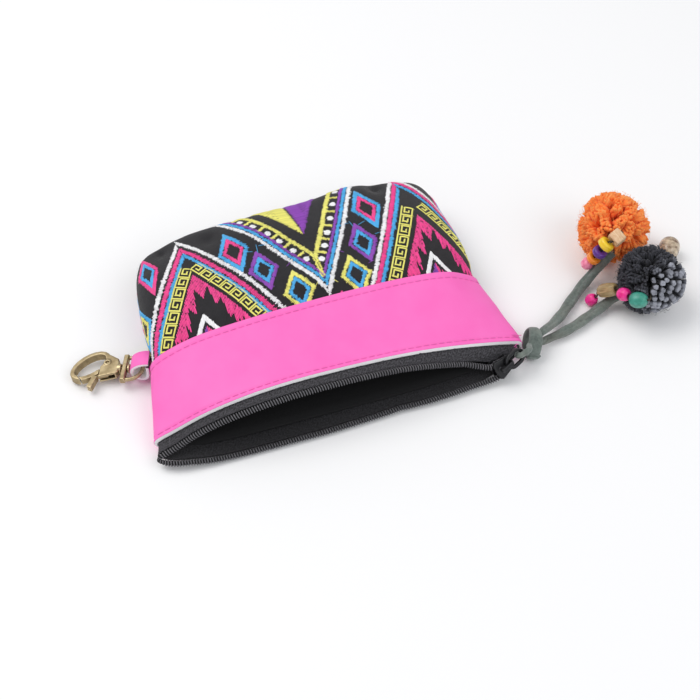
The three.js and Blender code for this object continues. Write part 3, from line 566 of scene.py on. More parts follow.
def laceTube(line, shape, seed):  # a strip rolled lengthwise, its crease wandering
    along = np.linspace(0, 1, len(line) + 2)[:, None]
    angle = roundAngles(shape.sides)[None]
    wander = sum(high * np.sin(waves * along + k * seed) for high, waves, k in creaseSet.sway)
    fold = angle - (math.pi / 2 + shape.turns * (along - creaseSet.middle) + wander)
    groove = 1 - shape.crease * bell(np.angle(np.exp(1j * fold)), 0, creaseSet.reach)
    groove = groove * (1 + creaseSet.rough * np.sin(creaseSet.waves * along + 2 * angle + seed))
    section = np.stack([np.cos(angle) * groove, shape.thick / shape.width * np.sin(angle) * groove], -1)
    slim = np.interp(np.linspace(0, 1, len(line)), [0, creaseSet.full, 1], [shape.start, 1, 1])
    return tubes(line, shape.width / 2 * slim, up=(0, 0, 1), section=section[None])


laces = {}
for seed, (name, route) in enumerate(laceRoutes.items()):
    line = smoothLine(route, laceSet.rings)
    tube = laceTube(line, laceSet, seed)
    piece = addPiece(f"lace_{name}", *tube, ["suede"], "suede", [f"cord_tail_{name}"])
    laces[name] = (piece, line)
print("laces")

# Cloth panels
clothSet = Settings(rows=84, cols=170, outer=0.0, inner=-1.2)


def shell(wall, vs, ss, layer, flip):  # a closed sheet between two heights over the wall
    v, s = np.broadcast_arrays(vs, ss)
    top, low = wall.lift(v, s, layer.outer), wall.lift(v, s, layer.inner)
    rows, cols = v.shape
    faces = gridFaces(rows, cols, flip=flip)
    under = gridFaces(rows, cols, flip=not flip) + rows * cols
    ring = np.concatenate([np.arange(cols), np.arange(1, rows) * cols + cols - 1,
                           (rows - 1) * cols + np.arange(cols - 2, -1, -1), np.arange(rows - 2, 0, -1) * cols])
    after = np.roll(ring, -1)
    rim = np.stack([ring, ring + rows * cols, after + rows * cols, after], -1)
    rim = rim[:, ::-1] if flip else rim
    points = np.concatenate([top.reshape(-1, 3), low.reshape(-1, 3)])
    flat = np.tile(wall.places(v, s).reshape(-1, 3), (2, 1))
    return points, np.concatenate([faces, under, rim]), flat


for side in bothSides:
    vs = np.linspace(stations.cloth, stations.closed, clothSet.rows)[:, None]
    ss = np.linspace(-1, 1, clothSet.cols)[None]
    points, faces, flat = shell(walls[side], vs, ss, clothSet, side == "back")
    addPiece(f"cloth_{side}_panel", points, faces, ["cloth"], "cloth", [f"cloth_{side}"],
             extras={"flat": flat})
print("cloth")

# Embroidery, charted on the flat cloth as a zigzag, each leg sewn a little differently
chart = Settings(
    valley=4.9, half=44.0, lean=0.067, sine=0.4785, cosine=0.878, start=15.6, slope=0.545, pitch=0.52,
    width=0.5, lift=0.34, ragged=0.18, low=-3.5, seam=0.996, hem=0.4)
legs = {  # valley and side, middle of each line across the leg, dots along it, diamonds off the valley
    "outerLeft": Settings(
        valley=-1, way=1, white=-1.8, pink=-4.2, blue=-6.0, key=-8.7, inner=14.8, plan="outer",
        dots=(8.5, 15.3, 22.0, 30.0, 38.8, 48.0), diamonds=((12.0, 2.0), (19.9, 15.4), (28.9, 38.0))),
    "left": Settings(
        valley=0, way=-1, white=-0.8, pink=-3.9, blue=-5.8, key=-8.1, inner=15.4, plan="middle",
        dots=(10.6, 17.2, 24.1, 29.8, 36.9, 43.5, 50.2), diamonds=((9.9, 6.0), (19.4, 19.3), (26.9, 32.3))),
    "right": Settings(
        valley=0, way=1, white=-0.2, pink=-2.05, blue=-3.7, key=-7.8, inner=14.8, plan="middle",
        dots=(8.5, 15.3, 22.0, 30.0, 38.8, 47.5, 55.0), diamonds=((12.1, 6.9), (19.6, 20.7), (27.2, 36.6))),
    "outerRight": Settings(
        valley=1, way=-1, white=2.2, pink=0.4, blue=-1.7, key=-6.1, inner=15.4, plan="outer",
        dots=(10.6, 17.2, 24.1, 30.5, 36.9, 43.5, 50.2), diamonds=((11.0, 6.4), (19.4, 20.0), (27.0, 34.0))),
}
stitches = {name: [] for name in threadColours}


def legPlace(q, r):  # q across the zigzag's leg, r up along it, to distance from the valley and height
    away = chart.start + chart.sine * r - chart.cosine * q
    return np.stack([away, chart.sine * q + chart.cosine * r], -1)


def clipSpan(a, b, low, high, least=0.25):  # shortens spans to low..high of the first coordinate
    da, db = a[:, :1], b[:, :1]
    gap = np.where(np.abs(db - da) < 1e-9, 1e-9, db - da)
    ta, tb = (low - da) / gap, (high - da) / gap
    near, far = np.clip(np.minimum(ta, tb), 0, 1), np.clip(np.maximum(ta, tb), 0, 1)
    keep = (far - near)[:, 0] * np.linalg.norm(b - a, axis=1) > least
    return (a + (b - a) * near)[keep], (a + (b - a) * far)[keep]


def sew(colour, a, b, names=tuple(legs), clip=True, width=chart.width):
    a, b = np.asarray(a, float).reshape(-1, 2), np.asarray(b, float).reshape(-1, 2)
    if clip:
        a, b = clipSpan(a, b, 0.0, chart.half)
    for name in names:
        middle = chart.valley + 2 * chart.half * legs[name].valley
        ends = []
        for p in (a, b):
            u = middle + legs[name].way * p[:, 0] - chart.lean * p[:, 1]
            ends.append(np.stack([u, p[:, 1]], -1))
        stitches[colour].append((*ends, np.full(len(a), width)))


def satin(name, colour, q0, r0, q1, r1, **more):  # stitches between places across and along a leg
    sew(colour, legPlace(q0, r0), legPlace(q1, r1), (name,), **more)


def brick(low, high, first, least, long):  # ends of the stitches that fill one row
    cuts = np.concatenate([[low], np.arange(first, high - least, long), [high]])
    return zip(cuts, cuts[1:])


lineSet = Settings(
    begin=-26.0, stop=84.0, widths={"white": 1.68, "pink": 1.9, "blue": 1.5},
    inner=[("white", 0.0, 1.6), ("blue", 1.65, 1.4), ("purple", 3.1, 1.25), ("yellow", 7.75, 1.8)])
dotSet = Settings(across=20.0, size=1.25, rows=(-1.0, 1.05, 0.4), rung=0.6, rungFrom=18.9, rungTo=22.3)
for name, leg in legs.items():
    rows = [(colour, leg[colour], broad) for colour, broad in lineSet.widths.items()]
    rows += [(colour, leg.inner + shift, broad) for colour, shift, broad in lineSet.inner]
    r = np.arange(lineSet.begin, lineSet.stop, chart.pitch)
    for colour, middle, broad in rows:
        satin(name, colour, middle - broad / 2, r, middle + broad / 2, r)
    dots = np.array(leg.dots)
    offset = np.arange(*dotSet.rows)
    reach = np.sqrt(dotSet.size**2 - offset**2)
    for r in dots:
        satin(name, "white", dotSet.across - reach, r + offset, dotSet.across + reach, r + offset)
    q = np.arange(dotSet.rungFrom, dotSet.rungTo, chart.pitch)
    for r in (dots[1:] + dots[:-1]) / 2:
        satin(name, "yellow", q, r - dotSet.rung, q, r + dotSet.rung)

stemSet = Settings(begin=8.7, stop=20.5, half=0.85)
stem = np.arange(stemSet.begin, stemSet.stop, chart.pitch)
sew("yellow", np.stack([stem * 0, stem], -1), np.stack([stem * 0 + stemSet.half, stem], -1))

# The triangle in each valley, split down its middle
triangle = Settings(
    tip=31.0, begin=31.8, stop=63.5, split=0.15, first=4.5, shift=7.7, range=3, least=1.5, long=5.0,
    halves=(("yellow", ("left", "outerRight")), ("purple", ("right", "outerLeft"))))
for colour, names in triangle.halves:
    for w in np.arange(triangle.begin, triangle.stop, chart.pitch):
        far = chart.slope * (w - triangle.tip)
        first = triangle.first + (w * triangle.shift) % triangle.range
        for p, q in brick(triangle.split, far, first, triangle.least, triangle.long):
            sew(colour, [[p, w]], [[q, w]], names)

diamond = Settings(rim=0.7, core=0.43, gap=0.01, step=(7.4, 14.6))
diamondSizes = {"middle": ((6.1, 9.7), (5.9, 9.7), (6.0, 11.8)),
                "outer": ((5.2, 10.6), (5.0, 11.2), (4.7, 14.0))}
diamondColours = {  # outer and inner colour from the band upwards, the first below the chart's edge
    "middle": (("pink", "blue"), ("yellow", "blue"), ("purple", "blue"), ("blue", "pink")),
    "outer": (("yellow", "blue"), ("blue", "pink"), ("blue", "yellow"), ("pink", "blue")),
}
for name, leg in legs.items():
    rows = np.array(leg.diamonds)
    rows = np.vstack([rows[0] - diamond.step, rows])
    sizes = (diamondSizes["middle"][0], *diamondSizes[leg.plan])
    for centre, (wide, tall), pair in zip(rows, sizes, diamondColours[leg.plan]):
        corners = np.array([(0, tall), (wide, 0), (0, -tall), (-wide, 0)])
        spans = ((1.0, diamond.rim + diamond.gap), (diamond.rim - diamond.gap, diamond.core))
        for colour, (outer, inner) in zip(pair, spans):
            for p, q in zip(corners, np.roll(corners, -1, 0)):
                count = int(np.linalg.norm(q - p) * (outer + inner) / 2 / chart.pitch)
                edge = p + (q - p) * (np.arange(count)[:, None] + 0.5) / count
                sew(colour, centre + edge * outer, centre + edge * inner, (name,), clip=False)

keySet = Settings(pitch=5.15, top=41.0, deep=4.6, width=0.56, count=14, thread=0.6, foot=0.06)
keyTurn = [(0.0, 0.06), (0.06, 0.06), (0.06, 0.94), (0.9, 0.94), (0.9, 0.3), (0.36, 0.3), (0.36, 0.66),
           (0.62, 0.66)]
keyFoot = [(0.0, keySet.foot), (1.0, keySet.foot)]


def sewKey(corners, name):  # two threads side by side along each stretch
    width, corners = keySet.width, np.array(corners)
    for p, q in zip(corners, corners[1:]):
        along = unit(q - p)
        across = np.array([-along[1], along[0]]) * width / 4
        for way in (-1, 1):
            a, b = p + way * across - along * width / 2, q + way * across + along * width / 2
            satin(name, "yellow", *a, *b, width=width * keySet.thread)


for name, leg in legs.items():
    near = leg.key + keySet.deep / 2
    for i in range(keySet.count):
        start = keySet.top - (i + 1) * keySet.pitch
        for shape in (keyTurn, keyFoot):
            sewKey([(near - keySet.deep * y, start + keySet.pitch * x) for x, y in shape], name)

# Under each peak: a pink flame with a jagged inner edge, a white chevron and a small triangle
flame = np.array([(-15.0, -4.0), (-9.4, -4.0), (-8.4, 6.4), (-7.2, 2.6), (-6.0, 13.4), (-3.8, 8.6),
                  (-1.8, 20.4), (0.4, 14.6), (3.0, 20.2), (4.2, 10.2), (6.4, 12.8), (7.5, 3.0), (9.0, 4.8),
                  (9.7, -4.0), (15.0, -4.0)])
flameSet = Settings(span=(-14.6, 14.7), edge=15.0, first=2.5, shift=9.1, range=3.5, least=1.2, long=5.5)
peaks = [Settings(legs=("outerLeft", "left"), chevron=7.0), Settings(legs=("right", "outerRight"), chevron=9.0)]
peakSet = Settings(
    slope=0.555, begin=-1.8, close=0.85, below=1.6, above=1.5, inset=3.7, foot=-3.3, aside=-1.5,
    small=(-5.0, 5.05), least=0.4)


def peakSew(colour, peak, e, w0, w1):  # upright stitches at a signed distance from the peak's middle line
    e, w0, w1 = np.broadcast_arrays(np.atleast_1d(e), w0, w1)
    for way, name in zip((-1, 1), peak.legs):
        part = (e * way > 0) | ((e == 0) & (way > 0))
        d = chart.half - np.abs(e[part])
        sew(colour, np.stack([d, w0[part]], -1), np.stack([d, w1[part]], -1), (name,))


for peak in peaks:
    for e in np.arange(*flameSet.span, chart.pitch):
        low, high = np.interp(e, flame[:, 0], flame[:, 1]), (flameSet.edge - abs(e)) / chart.slope
        first = low + flameSet.first + (abs(e) * flameSet.shift) % flameSet.range
        for p, q in brick(low, high, first, flameSet.least, flameSet.long):
            if q - p > peakSet.least:
                peakSew("pink", peak, e, p, q)
    w = np.arange(peakSet.begin, peak.chevron, chart.pitch * peakSet.close)
    for way in (-1, 1):
        e = way * peakSet.slope * (peak.chevron - w) + peakSet.aside
        peakSew("white", peak, e, w - peakSet.below, w + peakSet.above)
    for e in np.arange(*peakSet.small, chart.pitch):
        top = peak.chevron - peakSet.inset - abs(e) / peakSet.slope
        if top - peakSet.foot > peakSet.least:
            peakSew("purple" if e < 0 else "pink", peak, e + peakSet.aside, peakSet.foot, top)

jumpWidth = 0.22
jumps = [("blue", (12.8, 28.3), (15.4, 26.5)), ("blue", (10.0, 25.4), (12.9, 29.2)),
         ("blue", (9.4, 27.9), (7.2, 30.4)), ("purple", (12.4, 13.6), (16.0, 14.2)),
         ("yellow", (12.4, -0.6), (15.5, 0.4)), ("blue", (2.8, 24.6), (0.6, 26.0)),
         ("purple", (3.0, 10.6), (1.2, 12.4)), ("white", (15.5, -6.4), (17.8, -4.6))]
for colour, p, q in jumps:  # threads carried across between two motifs
    for name in ("left", "right"):
        satin(name, colour, *p, *q, width=jumpWidth)

stitchAlong = np.array([0.0, 0.16, 0.5, 0.84, 1.0])
stitchRise = np.array([0.02, 0.72, 1.0, 0.72, 0.02])
stitchBody = np.array([0.55, 0.95, 1.0, 0.95, 0.55])
stitchAcross = ((-1, 0.25), (0, 1.0), (1, 0.25))  # side and height
stitchSet = Settings(lay=0.03, widths=(0.84, 1.12), lofts=(0.82, 1.12), fine=0.4, tone=0.6, spread=0.25)


def stitchMesh(wall, spans, side):
    a, b, width = (np.concatenate([s[i] for s in spans]) for i in range(3))
    if side == "back":  # the same cloth goes on round the other side
        a, b = a * [-1, 1], b * [-1, 1]
    along = unit(b - a)
    jag = chart.ragged * rng.standard_normal((2, len(a), 1))
    a, b = a + along * jag[0], b + along * jag[1]
    keep = np.ones(len(a), bool)
    for p in (a, b):
        inside = np.abs(wall.spot(p[:, 0], p[:, 1])[1]) < chart.seam
        keep &= inside & (p[:, 1] > chart.low) & (p[:, 1] < wall.w[-1] - chart.hem)
    a, b, width = a[keep], b[keep], width[keep] * rng.uniform(*stitchSet.widths, keep.sum())
    length = np.linalg.norm(b - a, axis=1)
    across = np.stack([-(b - a)[:, 1], (b - a)[:, 0]], -1) / np.maximum(length, 1e-6)[:, None]
    loft = chart.lift * rng.uniform(*stitchSet.lofts, len(a)) * np.clip(width / stitchSet.fine, 0.5, 1)
    middle = a[:, None] + (b - a)[:, None] * stitchAlong[None, :, None]
    points = []
    for k, top in stitchAcross:
        p = middle + across[:, None] * (k * width[:, None] / 2 * stitchBody[None])[..., None]
        raised = stitchSet.lay + loft[:, None] * stitchRise[None] * top
        points.append(wall.lift(*wall.spot(p[..., 0], p[..., 1]), raised))
    points = np.stack(points, 2)  # stitch, along, across
    each = points.shape[1] * points.shape[2]
    one = gridFaces(*points.shape[1:3], flip=side == "front")
    faces = one[None] + (np.arange(len(a)) * each)[:, None, None]
    tone = np.repeat(np.clip(rng.normal(stitchSet.tone, stitchSet.spread, len(a)), 0, 1), each)
    return points.reshape(-1, 3), faces.reshape(-1, 4), tone


for side in bothSides:
    for colour, spans in stitches.items():
        points, faces, tone = stitchMesh(walls[side], spans, side)
        addPiece(f"stitches_{colour}_{side}", points, faces, [colour], "cloth", extras={"tone": tone})
print("embroidery")

# Leather band, folded over at the cloth and cut raw at the mouth
bandSet = Settings(
    cols=200, rows=60, outer=1.5, inner=0.3, lines=(2.83, 1.17), dent=0.28, dentReach=0.035, bare=0.075,
    bevel=0.006, torn=0.0012, round=0.03, fold=0.05, skip=6)
seamSet = Settings(
    long=2.3, space=2.9, thick=0.34, reach=0.97, sunk=0.28, arch=0.14, sides=6,
    taper=(0.6, 0.95, 1, 1, 1, 0.95, 0.6), tones=(0.2, 1))


def bandProfile():  # station and height, from the raw edge over the top, round the fold and back beneath
    o, i, mouth, end = bandSet.outer, bandSet.inner, stations.mouth, stations.bandEnd
    vs = np.linspace(mouth, end, bandSet.rows)
    over = o - bandSet.dent * sum(bell(vs, line, bandSet.dentReach) for line in bandSet.lines)
    bare, bend = mouth - bandSet.bare, end + bandSet.round
    raw = [(bare, i), (mouth - bandSet.bare * 0.9, i + 0.3), (mouth - bandSet.bevel, o - 0.16)]
    fold = [(bend, o - 0.14), (end + bandSet.fold, (o + i) / 2), (bend, i + 0.12)]
    under = [(v, i) for v in vs[::-1][:: bandSet.skip]]
    strip = np.arange(len(raw) + len(vs) + len(fold) + len(under) - 1)
    white = (strip < len(raw) - 1) | (strip >= len(raw) + len(vs) + len(fold) - 1)
    return np.array([*raw, *zip(vs, over), *fold, *under]), white


def seamStitches(wall, v):
    left, right = np.interp(v, wall.v, wall.left), np.interp(v, wall.v, wall.right)
    u = np.arange(-left * seamSet.reach, right * seamSet.reach, seamSet.space)[:, None]
    f = np.linspace(0, 1, len(seamSet.taper))
    s = (u + seamSet.long * f[None]) / np.where(u < 0, left, right)
    arch = seamSet.arch * np.sqrt(np.maximum(0, 1 - (2 * f - 1) ** 4))
    lines = wall.lift(v, s, bandSet.outer - seamSet.sunk + arch)
    return tubes(lines, seamSet.thick / 2 * np.array(seamSet.taper)[None], seamSet.sides)


profile, white = bandProfile()
for side in bothSides:
    wall = bandWalls[side]
    ss = np.linspace(-1, 1, bandSet.cols)
    v, s = np.meshgrid(profile[:, 0], ss, indexing="ij")
    v[:2] += bandSet.torn * np.abs(rng.standard_normal(len(ss))) ** 3  # the cut edge is a little torn
    points = wall.lift(v, s, profile[:, 1:2])
    faces = gridFaces(*v.shape, flip=side == "back")
    near, last = np.arange(len(ss) - 1), (len(profile) - 1) * len(ss)
    closing = np.stack([near, near + 1, near + 1 + last, near + last], -1)
    faces = np.concatenate([faces, closing if side == "back" else closing[:, ::-1]])
    pick = np.concatenate([np.repeat(white, len(near)), np.ones(len(near))])
    addPiece(f"band_{side}_leather", points, faces, ["leather", "core"], "leather", [f"band_{side}"], pick,
             {"flat": wall.places(v, s).reshape(-1, 3)})
    points, faces = joinParts([seamStitches(wall, line) for line in bandSet.lines])
    each = (len(seamSet.taper) + 2) * seamSet.sides
    tone = np.repeat(rng.uniform(*seamSet.tones, len(points) // each + 1), each)[: len(points)]
    addPiece(f"band_{side}_stitches", points, faces, ["leatherThread"], "leather", extras={"tone": tone})
print("band")

# Lining: the inside bag, open at the mouth
liningSet = Settings(rows=40, cols=80, outer=-1.6, inner=-2.6, ahead=0.35, short=0.25, reach=0.985, floor=0.5)
vs = np.linspace(stations.tapeEnd - liningSet.ahead, stations.closed - liningSet.short, liningSet.rows)
ss = np.linspace(-liningSet.reach, liningSet.reach, liningSet.cols)[None]
parts = [shell(walls[side], vs[:, None], ss, liningSet, side == "back")[:2] for side in bothSides]
points, faces = joinParts(parts)
keepAbove(points, liningSet.floor)
addPiece("lining_bag", points, faces, ["lining"], "lining", ["lining"])
print("lining")

# Zip: woven tapes and a helical coil on each lip
zipSet = Settings(rows=22, cols=240, outer=-0.1, inner=-1.1, end=0.995, room=(3.4, 2.6, 3.0), roomOut=0.6)
coilSet = Settings(
    pitch=0.95, wire=0.2, radius=0.98, steps=12, sides=6, end=0.74, points=60, sunk=-0.6, out=1.5,
    first=(40, 0.55), last=(90, 0.7), core=0.78, coreSteps=300, coreSides=8,
    throat=[(-4.2, 2.6), (-1.2, 2.15), (1.2, 1.45), (3.2, 1.2)])  # the way into the slider
lipDrawn = {"front": ((-1, -0.8, 0.35, 0.74, 0.95), (0, 0.48, 0.48, 0.2, 0)),
            "back": ((-1, -0.8, -0.1, 0.3, 0.74, 0.95), (0, 0.3, 0.3, 0.6, 0.12, 0))}
sliderPlace = np.array([58.6, -47.8, 5.6])
sliderAlong = unit([0.9, 0.37, 0.22])
sliderHint = np.array([0, 0.58, 0.81])
sliderAcross = unit(sliderHint - sliderHint @ sliderAlong * sliderAlong)
sliderOut = np.cross(sliderAlong, sliderAcross)
sliderAxes = np.stack([sliderAlong, sliderAcross, sliderOut])


def lipStart(side, s):  # where the tape begins; the open lips are drawn in a little
    return np.interp(s, *lipDrawn[side])


def atSlider(rows):
    return sliderPlace + np.asarray(rows, float) @ sliderAxes


def coilParts(wall, side):  # the wire wound round its core, from the left corner into the slider
    s = np.linspace(-1, coilSet.end, coilSet.points)
    edge = wall.lift(lipStart(side, s), s, coilSet.sunk)
    out = unit(edge - wall.lift(1.0, s, coilSet.sunk))
    throat = atSlider([(x, wall.way * y, 0) for x, y in coilSet.throat])
    path = np.vstack([edge + out * coilSet.out, throat])
    middle = smoothLine(path, int(lineLength(path) / coilSet.pitch) * coilSet.steps)
    normal, across = frames(middle[None])
    index, count = np.arange(len(middle)), len(middle)
    angle = (index * 2 * math.pi / coilSet.steps)[:, None]
    (start, thin), (stop, slim) = coilSet.first, coilSet.last
    radius = coilSet.radius * np.interp(index, [0, start, count - stop, count], [thin, 1, 1, slim])[:, None]
    helix = middle + (normal[0] * (np.cos(angle) * radius) + across[0] * (np.sin(angle) * radius))
    keepAbove(helix, coilSet.wire + ground)
    core = smoothLine(path, coilSet.coreSteps)
    return (tubes(helix, coilSet.wire, coilSet.sides),
            tubes(core, coilSet.radius * coilSet.core, coilSet.coreSides))


for side in bothSides:
    wall = bandWalls[side]
    ss = np.linspace(-1, zipSet.end, zipSet.cols)[None]
    begin = lipStart(side, ss)
    vs = begin + (stations.tapeEnd - begin) * np.linspace(0, 1, zipSet.rows)[:, None]
    points, faces, flat = shell(wall, vs, ss, zipSet, side == "back")
    local = (points[faces].mean(1) - sliderPlace - sliderOut * zipSet.roomOut) @ sliderAxes.T
    faces = faces[(np.abs(local) > zipSet.room).any(1)]
    # the back side takes the copy of the tape with painted shade
    addPiece(f"zip_tape_{side}_woven", points, faces, [f"tape_{side}"], "zip", [f"zip_tape_{side}"],
             extras={"flat": flat})
    parts = coilParts(wall, side)
    pick = np.repeat([0, 1], [len(faces) for _, faces in parts])
    addPiece(f"zip_coil_{side}_nylon", *joinParts(parts), ["coil", "lining"], "zip", [f"zip_coil_{side}"],
             pick)
print("zip")

# Metal: slider, ring pull and swivel hook
metalSet = {  # node, finish, body, grain of the finer mesh, rounds of softening
    "slider_metal": ("zip_slider", "slider", "purse", 0.14, 6),
    "pull_ring": ("zip_pull", "slider", "purse", 0.14, 8),
    "hook_metal": ("hook_body", "brass", "hook", 0.16, 6),
    "lever_metal": ("hook_lever", "brass", "lever", 0.14, 6),
    "eye_metal": ("hook_eye", "brass", "purse", 0.14, 7),
}
for name, (node, finish, body, voxel, rounds) in metalSet.items():
    piece = bpy.data.objects.new(name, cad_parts[node].data.copy())
    scene.collection.objects.link(piece)
    remesh = piece.modifiers.new("fine", "REMESH")
    remesh.mode, remesh.voxel_size = "VOXEL", voxel * mm
    soft = piece.modifiers.new("soft", "SMOOTH")
    soft.iterations = rounds
    made = bpy.data.meshes.new_from_object(piece.evaluated_get(bpy.context.evaluated_depsgraph_get()))
    piece.modifiers.clear()
    piece.data = made
    made.materials.clear()
    made.materials.append(looks[finish])
    made.polygons.foreach_set("use_smooth", np.full(len(made.polygons), True))
    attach(piece, body)
    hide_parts(node)
print("metal")

# Leather tab, folded round the ring, its cut sides white
tabSet = Settings(
    width=6.4, thick=1.2, heading=math.radians(160), root=(-60.2, -6.3, 0.0), steps=60, bevel=0.15,
    crown=0.05, under=0.1, grain=30)
tabLine = [(0.45, 10.2), (2.4, 10.1), (4.6, 9.3), (6.4, 7.6), (6.8, 5.4), (6.0, 3.5), (4.2, 2.4), (2.4, 2.4),
           (1.2, 3.6), (0.9, 6.0), (0.95, 8.6)]
middle = smoothLine([(out, 0, z) for out, z in tabLine], tabSet.steps)
heading, sideways = compass(tabSet.heading)
middle = np.array(tabSet.root) + middle[:, :1] * heading + middle[:, 2:] * [0, 0, 1]
outward = np.cross(unit(np.gradient(middle, axis=0)), sideways)
h, w, bevel, under = tabSet.thick / 2, tabSet.width / 2, tabSet.bevel, tabSet.under
ring = [(-w, h - bevel), (-w + bevel, h), (0, h + tabSet.crown), (w - bevel, h), (w, h - bevel),
        (w, -h + under), (w - under, -h), (-w + under, -h), (-w, -h + under)]
points = np.stack([middle + sideways * b + outward * a for b, a in ring], 1)
pick = np.tile([0, 0, 0, 0, 1, 1, 1, 1, 1], len(middle) - 1)
across, along = np.meshgrid([b for b, _ in ring], np.linspace(0, tabSet.grain, len(middle)))
flat = np.stack([across, along, np.zeros_like(along)], -1).reshape(-1, 3)
faces = gridFaces(len(middle), len(ring), closed=True)
addPiece("tab_leather", points, faces, ["leather", "core"], "leather", ["hook_tab"], pick, {"flat": flat})
print("tab")

# Lace loop on the pull and the knot
knotSet = Settings(place=(74.1, -41.5, 5.2), heading=0.54, face=3.7)
knotPlace = np.array(knotSet.place)
knotAxis, knotSide = compass(knotSet.heading)


def fromKnot(rows):
    rows = np.asarray(rows, float)
    return knotPlace + rows[..., :1] * knotAxis + rows[..., 1:2] * knotSide + rows[..., 2:] * [0, 0, 1]


loopSet = Settings(rings=90, sides=20, width=2.2, thick=2.0, crease=0.3, turns=0.8, start=1.0, seed=3)
loopOut = [(-2.0, -0.6, 1.6), (-knotSet.face, -0.6, 2.2)]
loopTurn = [(11.2, -0.9, 3.6), (10.0, -0.3, 4.7), (8.4, 0, 5.0), (7.0, 0, 4.4), (6.4, 0, 3.0), (6.9, -0.1, 1.6),
            (8.2, -0.6, 0.8), (9.7, -1.8, 0.2), (11.1, -3.5, -0.6)]
loopBack = [(-knotSet.face, -1.2, -1.7), (-2.0, -1.0, -1.2)]
line = smoothLine(np.vstack([fromKnot(loopOut), atSlider(loopTurn), fromKnot(loopBack)]), loopSet.rings)
loop = addPiece("lace_loop", *laceTube(line, loopSet, loopSet.seed), ["suede"], "suede", ["cord_loop"])

knotRing = Settings(
    long=(0.2558, 0.7222, 0.6428), deep=(-0.17, 0.688, -0.705), axis=(0.951, -0.071, -0.299), tall=5.2,
    thin=2.9, wide=5.4, flat=0.34, begin=-3.0, stop=3.7, steps=90, grow=(0.93, 1.06), sides=22, square=0.65,
    pinches=((0.3, 0.0, 0.7), (0.12, 3.1, 0.5)))
knotCore = Settings(
    starts={"orange": (-3.4, -0.6, 2.0), "grey": (-3.4, -1.1, -1.5)}, radius=1.25, sides=14, flat=0.85,
    steps=24)
angle = np.linspace(knotRing.begin, knotRing.stop, knotRing.steps)
grow = np.linspace(*knotRing.grow, len(angle))  # the band's end lies over its start
sway = 0.45 * np.sin(angle * 0.5 + 0.4) + 0.3 * np.cos(angle) - 0.5
line = knotPlace + (knotRing.tall * grow * np.cos(angle))[:, None] * knotRing.long
line = line + (knotRing.thin * grow * np.sin(angle))[:, None] * knotRing.deep + sway[:, None] * knotRing.axis
broad = knotRing.wide / 2 * (1 - sum(deep * bell(angle, at, reach) for deep, at, reach in knotRing.pinches))
turn = roundAngles(knotRing.sides)
across = np.sign(np.cos(turn)) * np.abs(np.cos(turn)) ** knotRing.square
section = np.stack([across, knotRing.flat * np.sin(turn)], -1)
parts = [tubes(line, broad, up=unit(line[0] - knotPlace), section=section[None, None])]
for name, start in knotCore.starts.items():
    inside = knotPlace + [0.6, 0.4, 0.4 * np.sign(start[2])]
    through = smoothLine([fromKnot(start), inside, laceRoutes[name][1]], knotCore.steps)
    parts.append(tubes(through, knotCore.radius, knotCore.sides, knotCore.flat))
knot = addPiece("lace_knot", *joinParts(parts), ["suede"], "suede", ["cord_knot"])
print("knot")

# Beads and their threads
beadColumns = ("name", "x", "y", "z", "diameter", "length", "square", "sides")
strands = {  # sides: four for a block, none for a smooth turning
    "orange": [("wood_tube", 116.9, -18.0, 22.7, 6.8, 4.4, 8, 4),
               ("yellow", 113.0, -17.6, 20.0, 6.2, 3.0, 4, 0), ("purple", 111.4, -17.0, 15.9, 5.6, 2.6, 4, 0),
               ("orange", 110.0, -15.8, 12.0, 5.4, 2.4, 4, 0), ("pink", 108.5, -14.4, 8.2, 4.9, 4.2, 2, 8)],
    "grey": [("teal", 114.4, -43.0, 15.2, 6.2, 6.6, 2, 8), ("magenta_near", 111.6, -37.4, 13.4, 5.2, 5.0, 2, 8),
             ("tan", 109.4, -29.9, 8.8, 5.6, 8.4, 2.6, 8), ("magenta_far", 104.8, -27.4, 2.6, 4.6, 4.4, 2, 8)],
    "shell": [("shell", 143.9, -14.6, 4.3, 8.2, 9.0, 2.4, 0)],
}
strandRoots = {"orange": [(119.9, -15.6, 22.4), (121.6, -12.6, 20.4)],
               "grey": [(119.0, -43.2, 16.4), (121.8, -40.4, 15.6)],
               "shell": [(138.6, -20.6, 3.4), (134.4, -24.8, 6.4), (131.4, -27.4, 9.0)]}
painted, faceted = ((0.5, 0.5, 1.2), 0.05, 0.3), ((0.6, 0.6, 0.6), 0.05, 0.3)
beadTints = {  # dark and light of the figure, roughness, grain round and along, relief, coat
    "wood_tube": (rgb(206, 160, 116), rgb(240, 208, 172), 0.5, (0.5, 0.5, 2.6), 0.12, 0.0),
    "yellow": (rgb(238, 190, 14), rgb(252, 222, 60), 0.28, *painted),
    "purple": (rgb(72, 30, 120), rgb(112, 62, 164), 0.3, *painted),
    "orange": (rgb(240, 118, 6), rgb(255, 158, 44), 0.3, *painted),
    "pink": (rgb(240, 116, 156), rgb(255, 168, 196), 0.3, *faceted),
    "teal": (rgb(40, 128, 110), rgb(72, 166, 146), 0.32, (0.6, 0.6, 0.6), 0.05, 0.2),
    "magenta": (rgb(228, 10, 120), rgb(255, 62, 166), 0.28, *faceted),
    "tan": (rgb(128, 104, 64), rgb(190, 164, 116), 0.3, (1.4, 1.4, 0.22), 0.08, 0.35),
    "shell": (rgb(96, 60, 38), rgb(236, 218, 188), 0.2, (0.3, 0.3, 0.55), 0.05, 0.6),
}
looks.update({f"bead_{tint}": beadMaterial(f"bead_{tint}", *row) for tint, row in beadTints.items()})
woodTints = ("wood_tube", "tan")
beadSet = Settings(bore=1.0, lip=0.9, sunk=0.8, around=48, rows=28, corner=1.2, facet=0.7, past=0.4)
strandSet = Settings(radius=0.33, steps=90, sides=8)


